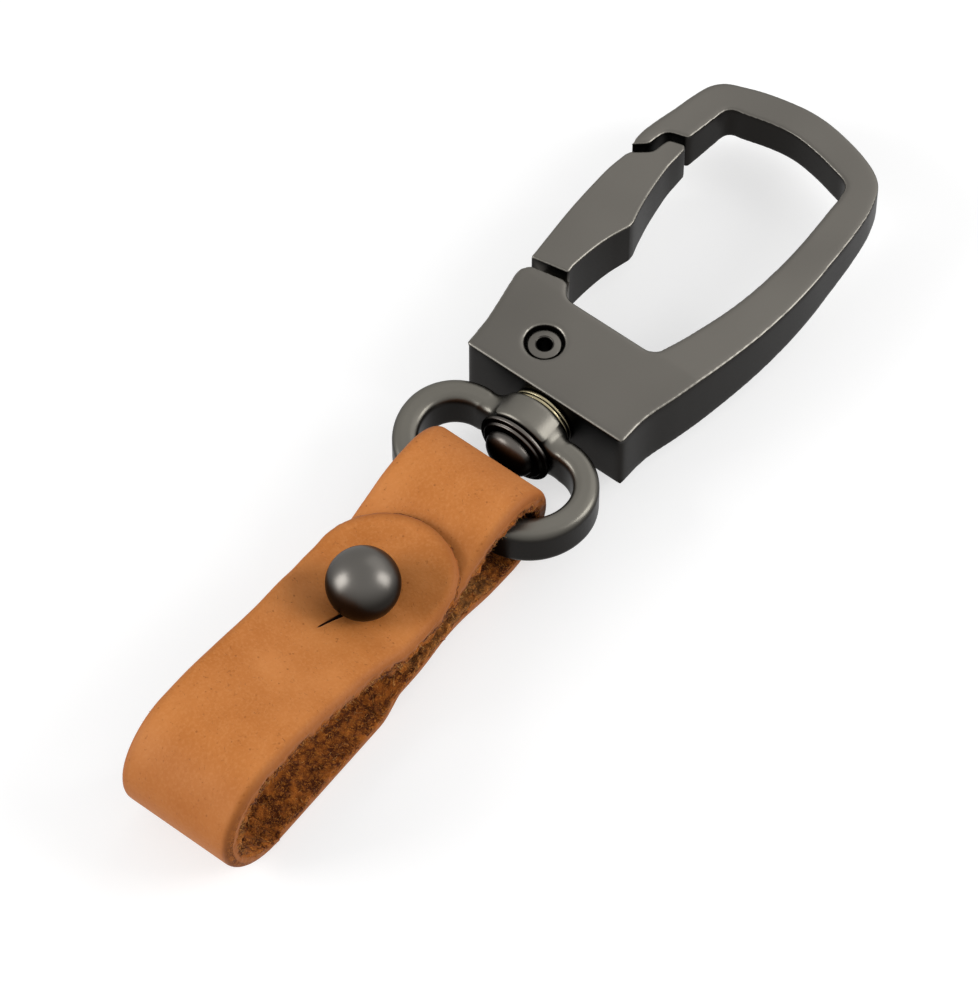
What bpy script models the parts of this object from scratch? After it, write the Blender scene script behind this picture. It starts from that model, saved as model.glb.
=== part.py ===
"""Leather strap keychain with a swivel carabiner hook.

The drawing frame has the swivel's axis along Y at X = 0 and Z = 0, the end face of the hook's base at
Y = 0, the hook on the +Y side and the strap on the -Y side. Lengths are in metres. The whole keychain hangs
on one empty that puts the middle of its footprint over the world's origin, with the floor at Z = 0.
"""

import math

import bmesh
import bpy
from mathutils import Matrix, Vector

MM = 0.001

# Hook: outline seen from above
HOOK_LENGTH = 47.4 * MM
SPINE_REACH = 13.9 * MM
GATE_REACH = 12.6 * MM
BASE_RIGHT = 10.0 * MM
BASE_LEFT = 10.4 * MM
EAR_REACH = 11.65 * MM
BASE_HEIGHT = 10.85 * MM
EAR_HEIGHT = 12.5 * MM
SPINE_WIDTH = 4.25 * MM
BOW_DEPTH = 3.8 * MM
NOSE_WIDTH = 4.4 * MM
EYE_LEFT = 4.8 * MM
EYE_RIGHT = 5.2 * MM

# Hook: thickness seen from the side
BASE_THICKNESS = 8.5 * MM
BOW_THICKNESS = 4.4 * MM
TAPER_START = 11.0 * MM
HOOK_EDGE = 0.3 * MM

# Gate, its slot in the base, its rivet and its spring
GATE_INSET = 0.2 * MM
GATE_GAP = 0.9 * MM
EAR_GAP = 1.1 * MM
GATE_PIVOT_X = -3.95 * MM
GATE_PIVOT_Y = 5.1 * MM
GATE_LUG_RADIUS = 2.6 * MM
GATE_TAIL_THICKNESS = 3.4 * MM
SLOT_CLEARANCE = 0.35 * MM
SLOT_FLOOR = 3.2 * MM
SLOT_RIGHT = 3.4 * MM
HEEL_REACH = 5.5 * MM
HEEL_RISE = 2.4 * MM
HEEL_WIDTH = 1.8 * MM
COUNTERBORE_RADIUS = 2.15 * MM
COUNTERBORE_DEPTH = 1.1 * MM
RIVET_TUBE_RADIUS = 1.35 * MM
RIVET_BORE_RADIUS = 0.85 * MM
RIVET_RIM_RADIUS = 1.85 * MM
RIVET_RIM_THICKNESS = 0.45 * MM
SPRING_WIRE = 0.3 * MM
SPRING_RADIUS = 1.0 * MM
SPRING_TURNS = 3

# Swivel pin, its washers and the ring that turns on it
PIN_RADIUS = 1.3 * MM
PIN_PEEN_RADIUS = 1.7 * MM
PIN_PEEN_LENGTH = 0.7 * MM
PIN_HEAD_RADIUS = 2.95 * MM
PIN_HEAD_HEIGHT = 1.7 * MM
COLLAR_RADIUS = 4.2 * MM
COLLAR_THICKNESS = 0.9 * MM
BOSS_RADIUS = 4.6 * MM
BOSS_LENGTH = 3.5 * MM
BOSS_EDGE = 0.6 * MM
WASHER_RADIUS = 4.4 * MM
WASHER_THICKNESS = 0.8 * MM
RING_WIDTH = 23.6 * MM
RING_BAR = 2.8 * MM
RING_THICKNESS = 5.2 * MM
RING_SHOULDER_GAP = 1.9 * MM
RING_SHOULDER_RADIUS = 6.35 * MM
RING_FOOT_RADIUS = 7.6 * MM
RING_EDGE = 0.9 * MM

# Strap: one strip of leather
STRAP_WIDTH = 14.0 * MM
STRAP_THICKNESS = 2.3 * MM
RING_LOOP_INNER = 3.8 * MM
BAR_TO_STUD = 16.55 * MM
STUD_TO_FOLD = 23.3 * MM
FOLD_RADIUS = 7.45 * MM
FRONT_TAIL = 3.4 * MM
TONGUE_END = 10.0 * MM
TONGUE_END_DEPTH = 5.6 * MM
BACK_AT_STUD = 2.8 * MM
BACK_DROP_START = 3.0 * MM
BACK_DROP_LENGTH = 3.6 * MM
BUTTON_SLIT_REACH = 5.0 * MM
BUTTON_SLIT_WIDTH = 0.3 * MM
BUTTON_SLIT_LEAN = 0.31

# Stud and its screw
STUD_X = 0.4 * MM
BALL_RADIUS = 3.9 * MM
BALL_OVER_LEATHER = 3.45 * MM
NECK_RADIUS = 1.9 * MM
FLANGE_RADIUS = 3.2 * MM
FLANGE_THICKNESS = 0.6 * MM
FLANGE_SINK = 0.3 * MM
SCREW_RADIUS = 1.1 * MM
SCREW_HEAD_RADIUS = 2.9 * MM
SCREW_HEAD_THICKNESS = 0.9 * MM
SCREW_DEPTH = 3.4 * MM
SCREW_SLOT_WIDTH = 0.8 * MM
SCREW_SLOT_DEPTH = 0.4 * MM

# Fits
SEAT_GAP = 0.1 * MM
RUN_GAP = 0.2 * MM
STRIP_GAP = 0.3 * MM
CUT_OVERRUN = 1.0 * MM
WELD = 0.001 * MM

# Smoothness
RUN_STEPS = 3
ROUND_STEPS = 36
LOOP_STEPS = 16
RAMP_STEPS = 10
COIL_STEPS = 10

# Places that follow from the sizes above
ORIGIN = Vector((0.0, 0.0, 0.0))
PIVOT = Vector((GATE_PIVOT_X, GATE_PIVOT_Y, 0.0))
TAIL_HALF = GATE_TAIL_THICKNESS / 2
SLOT_HALF = TAIL_HALF + SLOT_CLEARANCE
RING_HALF = RING_WIDTH / 2
RING_MIDDLE_Y = -(RING_SHOULDER_GAP + RING_SHOULDER_RADIUS)
BAR_Y = RING_MIDDLE_Y - RING_FOOT_RADIUS + RING_BAR / 2
STUD_Y = BAR_Y - BAR_TO_STUD
STUD = Vector((STUD_X, STUD_Y, 0.0))
FOLD_Y = STUD_Y - STUD_TO_FOLD
LEATHER_HALF = STRAP_THICKNESS / 2
LOOP_MIDDLE = RING_LOOP_INNER + LEATHER_HALF
FLOOR_Z = -(LOOP_MIDDLE + LEATHER_HALF)
FOLD_MIDDLE = FOLD_RADIUS - LEATHER_HALF
FOLD_Z = FOLD_MIDDLE - LOOP_MIDDLE
BACK_Z = -BACK_AT_STUD
FRONT_Z = BACK_Z + STRAP_THICKNESS + STRIP_GAP
FLANGE_Z = FRONT_Z + LEATHER_HALF - FLANGE_SINK
TONGUE_LIFT = STRAP_THICKNESS + FLANGE_THICKNESS - FLANGE_SINK + SEAT_GAP
TONGUE_Z = FRONT_Z + TONGUE_LIFT
BALL_Z = TONGUE_Z + LEATHER_HALF + BALL_OVER_LEATHER
FOOTPRINT_CENTRE = Vector(
    ((SPINE_REACH - GATE_REACH) / 2, (HOOK_LENGTH + FOLD_Y - FOLD_RADIUS) / 2, FLOOR_Z)
)

# Hook outline. Each table gives shares of the sizes named beside it.
# Right flank: how far the outline has swung out from the base to the spine, height over the hook's length
FLANK_shares = (
    (0.0, 0.0), (0.05, 0.085), (0.31, 0.169), (0.69, 0.316), (0.885, 0.42), (0.985, 0.524), (1.0, 0.59),
)
# From the spine's widest point to the crown: reach over the spine's, height over the hook's length
CROWN_RIGHT_shares = (
    (0.983, 0.691), (0.965, 0.772), (0.893, 0.886), (0.827, 0.925), (0.755, 0.944), (0.61, 0.966),
    (0.393, 0.986), (0.177, 0.998), (0.03, 1.0),
)
# From the crown to the nose's tip: reach over the gate side's, height over the hook's length
CROWN_LEFT_shares = (
    (0.20, 0.992), (0.437, 0.977), (0.60, 0.961), (0.752, 0.942), (0.83, 0.918), (0.883, 0.875),
    (0.927, 0.812), (0.975, 0.752), (0.998, 0.70), (0.991, 0.681), (0.968, 0.668),
)
# Middle of the Z-shaped parting between nose and gate: reach over the gate side's, height over the length
NOSE_PARTING_shares = (
    (0.972, 0.658), (0.897, 0.674), (0.841, 0.689), (0.823, 0.716), (0.794, 0.738), (0.714, 0.747),
    (0.635, 0.753),
)
# Eye beside the nose and under the bow: reach over the eye's half width on that side, height over the eye's
EYE_LEFT_shares = (
    (0.98, 0.785), (0.951, 0.83), (0.907, 0.905), (0.871, 0.945), (0.822, 0.957), (0.665, 0.966),
    (0.301, 0.989),
)
# Eye from the crown round to the spine and down to the floor
EYE_RIGHT_shares = (
    (0.054, 1.0), (0.364, 0.989), (0.676, 0.966), (0.862, 0.948), (0.914, 0.935), (0.944, 0.905),
    (0.968, 0.815), (0.987, 0.728), (1.0, 0.608), (0.992, 0.518), (0.961, 0.397), (0.894, 0.276),
    (0.819, 0.185), (0.733, 0.094), (0.679, 0.048), (0.637, 0.018),
)
# Ear: reach over the ear's, height over the ear's
EAR_INSIDE_shares = ((0.475, 0.895), (0.525, 0.945), (0.56, 1.0))
EAR_CORNER_shares = ((0.955, 0.935), (1.0, 0.86))
EAR_OUTSIDE_shares = ((0.985, 0.73), (0.945, 0.52), (0.905, 0.28))
# Middle of the straight parting between ear and gate: reach over the ear's, height over the ear's
EAR_PARTING_shares = ((0.60, 1.063), (1.0, 0.989))
# Gate: reach over the gate side's, height over the span between its two partings
GATE_INSIDE_shares = (
    (0.60, 0.97), (0.60, 0.92), (0.60, 0.838), (0.582, 0.745), (0.552, 0.63), (0.507, 0.513),
    (0.473, 0.42), (0.486, 0.395), (0.535, 0.304), (0.578, 0.165), (0.596, 0.048),
)
GATE_OUTSIDE_shares = (
    (0.938, 0.056), (0.959, 0.223), (0.979, 0.389), (0.994, 0.667), (0.992, 0.833), (0.97, 0.965)
)
# Tail of the gate inside the slot: reach over the ear's, height over the ear's
TAIL_LEFT_shares = ((0.90, 1.16), (0.87, 0.86), (0.74, 0.62))
TAIL_RIGHT_shares = ((0.48, 0.86), (0.66, 1.16))

# Strap layers between stud and ring bar: way along, rise from the stud's level to the bar loop's
FRONT_CLIMB_shares = (
    (0.0, 0.0), (0.12, 0.0), (0.29, 0.13), (0.41, 0.32), (0.525, 0.53), (0.645, 0.735), (0.75, 0.90),
    (0.86, 0.985), (1.0, 1.0),
)
BACK_SINK_shares = ((0.0, 0.0), (0.28, 0.0), (0.52, 0.38), (0.77, 0.85), (1.0, 1.0))
# Tongue between the lower fold and the stud: way along, fall from the fold's top to the stud's level
TONGUE_FALL_shares = (
    (0.0, 0.0), (0.18, 0.04), (0.34, 0.19), (0.57, 0.50), (0.785, 0.78), (0.92, 0.985), (1.0, 1.0)
)


def clear_scene():
    for item in list(bpy.data.objects):
        bpy.data.objects.remove(item, do_unlink=True)


def make_collection(name):
    collection = bpy.data.collections.new(name)
    bpy.context.scene.collection.children.link(collection)
    return collection


def make_material(name, colour, roughness, metallic):
    material = bpy.data.materials.new(name)
    material.use_nodes = True
    shader = material.node_tree.nodes["Principled BSDF"]
    shader.inputs["Base Color"].default_value = (*colour, 1.0)
    shader.inputs["Roughness"].default_value = roughness
    shader.inputs["Metallic"].default_value = metallic
    return material


def between(start, end, share):
    return start + (end - start) * share


def smooth_share(share):
    """Rises from 0 to 1 with a level start and end."""
    return (1 - math.cos(math.pi * share)) / 2


def arc(centre, radius, start_deg, end_deg, steps):
    """Points of an arc, ends included."""
    turns = [math.radians(between(start_deg, end_deg, i / steps)) for i in range(steps + 1)]
    return [(centre[0] + radius * math.cos(turn), centre[1] + radius * math.sin(turn)) for turn in turns]


def smooth_run(points, steps=RUN_STEPS):
    """A smooth curve through the points, ends included: a Catmull-Rom run with mirrored end points."""
    dots = [Vector(point) for point in points]
    dots = [2 * dots[0] - dots[1], *dots, 2 * dots[-1] - dots[-2]]
    run = []
    for before, start, end, after in zip(dots, dots[1:], dots[2:], dots[3:]):
        reach = (end - start).length
        lead = (start - before).length
        trail = (after - end).length
        leave = ((start - before) / lead * reach + (end - start) * lead / reach) / (lead + reach) * reach
        arrive = ((end - start) / reach * trail + (after - end) * reach / trail) / (reach + trail) * reach
        for i in range(steps):
            t = i / steps
            run.append(
                start * (2 * t**3 - 3 * t**2 + 1)
                + leave * (t**3 - 2 * t**2 + t)
                + end * (3 * t**2 - 2 * t**3)
                + arrive * (t**3 - t**2)
            )
    run.append(dots[-2])
    return [tuple(dot) for dot in run]


def offset_run(points, distance):
    """The open run moved sideways, to the left of its direction where the distance is above zero."""
    dots = [Vector(point) for point in points]
    moved = []
    for i, dot in enumerate(dots):
        into = (dots[i] - dots[i - 1]).normalized() if i else None
        out = (dots[i + 1] - dots[i]).normalized() if i + 1 < len(dots) else None
        into = into or out
        out = out or into
        along = (into + out).normalized()
        stretch = 1 / max(along.dot(into), 0.5)
        moved.append(tuple(dot + Vector((-along.y, along.x)) * distance * stretch))
    return moved


def mesh_object(name, mesh, origin, material, collection, root):
    item = bpy.data.objects.new(name, mesh)
    item.location = origin
    item.parent = root
    mesh.materials.clear()
    mesh.materials.append(material)
    collection.objects.link(item)
    return item


def converted(curve_object):
    """The mesh of a curve object, its caps welded, and the curve removed."""
    bpy.context.view_layer.update()
    graph = bpy.context.evaluated_depsgraph_get()
    mesh = bpy.data.meshes.new_from_object(curve_object.evaluated_get(graph))
    bpy.data.objects.remove(curve_object, do_unlink=True)
    shape = bmesh.new()
    shape.from_mesh(mesh)
    bmesh.ops.remove_doubles(shape, verts=shape.verts, dist=WELD)
    bmesh.ops.dissolve_limit(
        shape, angle_limit=math.radians(0.1), verts=shape.verts, edges=shape.edges, delimit=set()
    )
    bmesh.ops.recalc_face_normals(shape, faces=shape.faces)
    shape.to_mesh(mesh)
    shape.free()
    return mesh


def plate_mesh(name, outlines, half_thickness):
    """A flat plate in the XY plane from one outline, and a hole for each further one."""
    data = bpy.data.curves.new(name, "CURVE")
    data.dimensions = "2D"
    data.fill_mode = "BOTH"
    data.extrude = half_thickness
    for outline in outlines:
        spline = data.splines.new("POLY")
        spline.points.add(len(outline) - 1)
        for point, (x, y) in zip(spline.points, outline):
            point.co = (x, y, 0.0, 1.0)
        spline.use_cyclic_u = True
    item = bpy.data.objects.new(name, data)
    bpy.context.scene.collection.objects.link(item)
    return converted(item)


def shift_mesh(mesh, origin):
    mesh.transform(Matrix.Translation(-origin))


def turned_mesh(name, profile, steps=ROUND_STEPS):
    """A turned body about Z. The profile holds (radius, height) pairs, closed on itself or on the axis."""
    mesh = bpy.data.meshes.new(name)
    shape = bmesh.new()
    dots = [shape.verts.new((radius, 0.0, height)) for radius, height in profile]
    for first, second in zip(dots, dots[1:]):
        shape.edges.new((first, second))
    if profile[0][0] > 0:
        shape.edges.new((dots[-1], dots[0]))
    shape.to_mesh(mesh)
    shape.free()
    return mesh


def add_screw(item, steps=ROUND_STEPS):
    screw = item.modifiers.new("turn", "SCREW")
    screw.axis = "Z"
    screw.angle = math.tau
    screw.steps = steps
    screw.render_steps = steps
    screw.use_merge_vertices = True
    screw.merge_threshold = WELD
    screw.use_smooth_shade = True
    return screw


def turned(name, profile, origin, material, collection, root, along_y=False, steps=ROUND_STEPS):
    """A turned piece whose axis is Z, or Y where the profile's height runs to +Y."""
    item = mesh_object(name, turned_mesh(name, profile, steps), origin, material, collection, root)
    if along_y:
        item.rotation_euler = (-math.pi / 2, 0.0, 0.0)
    add_screw(item, steps)
    return item


def add_bevel(item, width, segments=2, angle=35.0):
    bevel = item.modifiers.new("edge", "BEVEL")
    bevel.width = width
    bevel.segments = segments
    bevel.limit_method = "ANGLE"
    bevel.angle_limit = math.radians(angle)
    return bevel


def combine(item, other, operation):
    boolean = item.modifiers.new(operation.lower() + " " + other.name, "BOOLEAN")
    boolean.operation = operation
    boolean.object = other
    boolean.solver = "EXACT"


def hide(item):
    item.hide_render = True
    item.display_type = "WIRE"


def cutter_plate(name, outline, bottom, top, shop):
    mesh = plate_mesh(name, [outline], (top - bottom) / 2)
    mesh.transform(Matrix.Translation((0.0, 0.0, (top + bottom) / 2)))
    item = mesh_object(name, mesh, ORIGIN, shop.steel, shop.cutters, shop.root)
    hide(item)
    return item


def cutter_round(name, centre, radius, bottom, top, shop, along_y=False):
    """A round cutter from bottom to top along Z, or along Y."""
    middle = (bottom + top) / 2
    half = (top - bottom) / 2
    profile = ((0.0, half), (radius, half), (radius, -half), (0.0, -half))
    place = Vector(centre) + (Vector((0.0, middle, 0.0)) if along_y else Vector((0.0, 0.0, middle)))
    item = turned(name, profile, place, shop.steel, shop.cutters, shop.root, along_y)
    hide(item)
    return item


def shade(item):
    item.data.shade_smooth()
    item.data.set_sharp_from_angle(angle=math.radians(35.0))


class Shop:
    """The collections, the materials and the empty that every piece hangs on."""

    def __init__(self):
        self.parts = make_collection("leather_keychain")
        self.cutters = make_collection("cutters")
        self.cutters.hide_render = True
        self.root = bpy.data.objects.new("keychain", None)
        self.root.location = -FOOTPRINT_CENTRE
        self.parts.objects.link(self.root)
        self.gunmetal = make_material("gunmetal plating", (0.147, 0.138, 0.122), 0.36, 1.0)
        self.gunmetal_dark = make_material("dark gunmetal washer", (0.09, 0.085, 0.078), 0.34, 1.0)
        self.bright = make_material("bright nickel collar", (0.53, 0.48, 0.36), 0.25, 1.0)
        self.steel = make_material("spring steel", (0.42, 0.42, 0.41), 0.35, 1.0)
        self.leather = make_material("tan leather", (0.56, 0.20, 0.065), 0.62, 0.0)
        self.stud = make_material("gunmetal stud", (0.13, 0.125, 0.115), 0.3, 1.0)


def half_thickness(y):
    """Half the hook's thickness at a height: level in the base, then a wedge up to the bow."""
    share = min(max((y - TAPER_START) / (HOOK_LENGTH - TAPER_START), 0.0), 1.0)
    return between(BASE_THICKNESS, BOW_THICKNESS, share) / 2


def taper(mesh, inset):
    """Gives a plate that lies across Z = 0 the hook's own thickness, less the inset on each face."""
    shape = bmesh.new()
    shape.from_mesh(mesh)
    everything = [*shape.verts, *shape.edges, *shape.faces]
    bmesh.ops.bisect_plane(
        shape, geom=everything, dist=WELD, plane_co=(0.0, TAPER_START, 0.0), plane_no=(0.0, 1.0, 0.0)
    )
    for vert in shape.verts:
        vert.co.z = math.copysign(half_thickness(vert.co.y) - inset, vert.co.z)
    shape.to_mesh(mesh)
    shape.free()


def nose_parting(offset):
    middle = [(-x * GATE_REACH, y * HOOK_LENGTH) for x, y in NOSE_PARTING_shares]
    return smooth_run(offset_run(middle, offset))


def ear_parting(offset):
    middle = [(-x * EAR_REACH, y * EAR_HEIGHT) for x, y in EAR_PARTING_shares]
    return offset_run(middle, offset)


def ear_points(shares):
    return [(-x * EAR_REACH, y * EAR_HEIGHT) for x, y in shares]


def frame_outline():
    eye_height = HOOK_LENGTH - BOW_DEPTH
    eye_right = SPINE_REACH - SPINE_WIDTH
    eye_left = GATE_REACH - NOSE_WIDTH
    flank = [(between(BASE_RIGHT, SPINE_REACH, x), y * HOOK_LENGTH) for x, y in FLANK_shares]
    flank += [(x * SPINE_REACH, y * HOOK_LENGTH) for x, y in CROWN_RIGHT_shares]
    flank += [(-x * GATE_REACH, y * HOOK_LENGTH) for x, y in CROWN_LEFT_shares]
    nose = nose_parting(GATE_GAP / 2)
    eye = [(-x * eye_left, between(BASE_HEIGHT, eye_height, y)) for x, y in EYE_LEFT_shares]
    eye += [(x * eye_right, between(BASE_HEIGHT, eye_height, y)) for x, y in EYE_RIGHT_shares]
    eye.append((EYE_RIGHT, BASE_HEIGHT))
    ear_inside = [(-EYE_LEFT, BASE_HEIGHT), *ear_points(EAR_INSIDE_shares)]
    ear_top = ear_parting(EAR_GAP / 2)
    ear_outside = [*ear_points(EAR_CORNER_shares), *ear_points(EAR_OUTSIDE_shares), (-BASE_LEFT, 0.0)]
    inner_ear = between(ear_top[0][0], ear_top[1][0], 0.06), between(ear_top[0][1], ear_top[1][1], 0.06)
    outer_ear = between(ear_top[0][0], ear_top[1][0], 0.84), between(ear_top[0][1], ear_top[1][1], 0.84)
    return [
        *smooth_run(flank),
        *nose,
        *smooth_run(eye),
        *smooth_run(ear_inside),
        inner_ear,
        *smooth_run([outer_ear, *ear_outside]),
    ]


def gate_outline():
    top = nose_parting(-GATE_GAP / 2)
    bottom = ear_parting(-EAR_GAP / 2)
    low = bottom[0][1]
    high = top[-1][1]
    inside = [(-x * GATE_REACH, between(low, high, y)) for x, y in GATE_INSIDE_shares]
    low = bottom[1][1]
    high = top[0][1]
    outside = [(-x * GATE_REACH, between(low, high, y)) for x, y in GATE_OUTSIDE_shares]
    inner_corner = between(bottom[0][0], bottom[1][0], 0.06), between(bottom[0][1], bottom[1][1], 0.06)
    return [*top, *smooth_run(inside), inner_corner, bottom[1], *smooth_run(outside)]


def tail_outline():
    """The gate's tail in the slot: neck, lug round the rivet and a heel that bears on the spring."""
    rise = math.degrees(math.asin(HEEL_RISE / GATE_LUG_RADIUS))
    lug = arc(PIVOT[:2], GATE_LUG_RADIUS, 190.0, 360.0 + rise, LOOP_STEPS)
    tip = PIVOT.x + HEEL_REACH
    heel = [(tip, PIVOT.y + HEEL_RISE), (tip, PIVOT.y + HEEL_RISE + HEEL_WIDTH)]
    return [*ear_points(TAIL_LEFT_shares), *lug, *heel, *ear_points(TAIL_RIGHT_shares)]


def slot_outline():
    """The slot between the ears, open to the gate's side and to the eye, rounded out below the lug."""
    left = -EAR_REACH - CUT_OVERRUN
    top = EAR_HEIGHT * 1.1 + CUT_OVERRUN
    radius = GATE_LUG_RADIUS + SLOT_CLEARANCE
    dip = math.degrees(math.asin((PIVOT.y - SLOT_FLOOR) / radius))
    hollow = arc(PIVOT[:2], radius, 180.0, 360.0 - dip, LOOP_STEPS)
    return [(left, PIVOT.y), *hollow, (SLOT_RIGHT, SLOT_FLOOR), (SLOT_RIGHT, top), (left, top)]


def build_frame(shop):
    """The hook's casting: base with its slotted ears, spine, bow and nose."""
    mesh = plate_mesh("hook_frame", [frame_outline()], BASE_THICKNESS / 2)
    taper(mesh, 0.0)
    frame = mesh_object("hook_frame", mesh, ORIGIN, shop.gunmetal, shop.parts, shop.root)
    add_bevel(frame, HOOK_EDGE)
    far = BASE_THICKNESS / 2 + CUT_OVERRUN
    slot = cutter_plate("gate_slot", slot_outline(), -SLOT_HALF, SLOT_HALF, shop)
    combine(frame, slot, "DIFFERENCE")
    bore = cutter_round("rivet_bore", PIVOT, RIVET_TUBE_RADIUS + SEAT_GAP, -far, far, shop)
    combine(frame, bore, "DIFFERENCE")
    seat = BASE_THICKNESS / 2 - COUNTERBORE_DEPTH
    for name, low, high in (("front_counterbore", seat, far), ("back_counterbore", -far, -seat)):
        sink = cutter_round(name, PIVOT, COUNTERBORE_RADIUS, low, high, shop)
        combine(frame, sink, "DIFFERENCE")
    end = SLOT_FLOOR + CUT_OVERRUN
    pin = cutter_round("pin_bore", ORIGIN, PIN_RADIUS + SEAT_GAP, -CUT_OVERRUN, end, shop, True)
    combine(frame, pin, "DIFFERENCE")
    shade(frame)
    return frame


def build_gate(shop):
    """The spring gate: a bar nearly as thick as the hook on a thinner tail that turns on the rivet."""
    mesh = plate_mesh("gate", [gate_outline()], BASE_THICKNESS / 2)
    taper(mesh, GATE_INSET)
    shift_mesh(mesh, PIVOT)
    gate = mesh_object("gate", mesh, PIVOT, shop.gunmetal, shop.parts, shop.root)
    add_bevel(gate, HOOK_EDGE)
    tail = cutter_plate("gate_tail", tail_outline(), -TAIL_HALF, TAIL_HALF, shop)
    combine(gate, tail, "UNION")
    far = BASE_THICKNESS / 2 + CUT_OVERRUN
    bore = cutter_round("gate_bore", PIVOT, RIVET_TUBE_RADIUS + RUN_GAP, -far, far, shop)
    combine(gate, bore, "DIFFERENCE")
    shade(gate)
    return gate


def build_rivet(shop):
    """The tubular rivet that the gate turns on, its two rims rolled over in the counterbores."""
    low = BASE_THICKNESS / 2 - COUNTERBORE_DEPTH + SEAT_GAP
    high = low + RIVET_RIM_THICKNESS
    curl = RIVET_RIM_THICKNESS / 2
    outside = (
        (RIVET_BORE_RADIUS, high - curl),
        (RIVET_BORE_RADIUS + curl / 2, high),
        (RIVET_RIM_RADIUS - curl, high),
        (RIVET_RIM_RADIUS, high - curl),
        (RIVET_RIM_RADIUS, low),
        (RIVET_TUBE_RADIUS, low),
    )
    profile = [*outside, *[(radius, -height) for radius, height in reversed(outside)]]
    return turned("gate_rivet", profile, PIVOT, shop.gunmetal, shop.parts, shop.root)


def spring_points():
    """The open coil between the pin's peened end and the gate's heel, seen from the swivel's axis."""
    low = SLOT_FLOOR + SEAT_GAP + PIN_PEEN_LENGTH + SEAT_GAP + SPRING_WIRE / 2
    high = PIVOT.y + HEEL_RISE - SEAT_GAP - SPRING_WIRE / 2
    count = COIL_STEPS * SPRING_TURNS
    coil = []
    for i in range(count + 1):
        turn = math.tau * i / COIL_STEPS
        across = SPRING_RADIUS * math.cos(turn)
        up = SPRING_RADIUS * math.sin(turn)
        coil.append((across, between(low, high, i / count), up))
    return coil


def build_spring(shop):
    data = bpy.data.curves.new("gate_spring", "CURVE")
    data.dimensions = "3D"
    data.bevel_depth = SPRING_WIRE / 2
    data.bevel_resolution = 1
    data.use_fill_caps = True
    spline = data.splines.new("POLY")
    points = spring_points()
    spline.points.add(len(points) - 1)
    for point, place in zip(spline.points, points):
        point.co = (*place, 1.0)
    spring = bpy.data.objects.new("gate_spring", data)
    spring.parent = shop.root
    data.materials.append(shop.steel)
    shop.parts.objects.link(spring)
    return spring


def swivel_stack():
    """Heights along Y of the pieces on the swivel pin, each as (far end, near end)."""
    collar = (-SEAT_GAP - COLLAR_THICKNESS, -SEAT_GAP)
    boss = (collar[0] - RUN_GAP - BOSS_LENGTH, collar[0] - RUN_GAP)
    washer = (boss[0] - RUN_GAP - WASHER_THICKNESS, boss[0] - RUN_GAP)
    head = (washer[0] - SEAT_GAP - PIN_HEAD_HEIGHT, washer[0] - SEAT_GAP)
    return collar, boss, washer, head


def build_pin(shop):
    """The swivel pin: domed head inside the ring, shank through the stack, end peened over in the slot."""
    head = swivel_stack()[3]
    peen = SLOT_FLOOR + SEAT_GAP
    brim = between(head[1], head[0], 0.35)
    dome = arc((0.0, brim), 1.0, 0.0, 90.0, 6)
    dome = [((x * PIN_HEAD_RADIUS), between(brim, head[0], (y - brim))) for x, y in dome]
    profile = [
        (0.0, peen + PIN_PEEN_LENGTH),
        (PIN_PEEN_RADIUS * 0.7, peen + PIN_PEEN_LENGTH),
        (PIN_PEEN_RADIUS, peen + PIN_PEEN_LENGTH / 2),
        (PIN_PEEN_RADIUS, peen),
        (PIN_RADIUS, peen),
        (PIN_RADIUS, head[1]),
        (PIN_HEAD_RADIUS, head[1]),
        *dome[:-1],
        (0.0, head[0]),
    ]
    return turned("swivel_pin", profile, ORIGIN, shop.gunmetal_dark, shop.parts, shop.root, True)


def washer_profile(radius, bore, low, high, edge):
    return (
        (bore, high),
        (radius - edge, high),
        (radius, high - edge),
        (radius, low + edge),
        (radius - edge, low),
        (bore, low),
    )


def build_washers(shop):
    collar, _, washer, _ = swivel_stack()
    bore = PIN_RADIUS + SEAT_GAP
    profile = washer_profile(COLLAR_RADIUS, bore, *collar, COLLAR_THICKNESS / 4)
    turned("collar_washer", profile, ORIGIN, shop.bright, shop.parts, shop.root, True)
    profile = washer_profile(WASHER_RADIUS, bore, *washer, WASHER_THICKNESS / 4)
    turned("head_washer", profile, ORIGIN, shop.gunmetal_dark, shop.parts, shop.root, True)


def ring_outline(inset):
    """The ring's outline, moved in by the inset: two shoulder arcs over two foot arcs of larger radius."""
    shoulder = RING_SHOULDER_RADIUS - inset
    foot = RING_FOOT_RADIUS - inset
    shoulder_x = RING_HALF - RING_SHOULDER_RADIUS
    foot_x = RING_HALF - RING_FOOT_RADIUS
    return [
        *arc((foot_x, RING_MIDDLE_Y), foot, -90.0, 0.0, LOOP_STEPS),
        *arc((shoulder_x, RING_MIDDLE_Y), shoulder, 0.0, 90.0, LOOP_STEPS)[1:],
        *arc((-shoulder_x, RING_MIDDLE_Y), shoulder, 90.0, 180.0, LOOP_STEPS),
        *arc((-foot_x, RING_MIDDLE_Y), foot, 180.0, 270.0, LOOP_STEPS)[1:],
    ]


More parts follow.
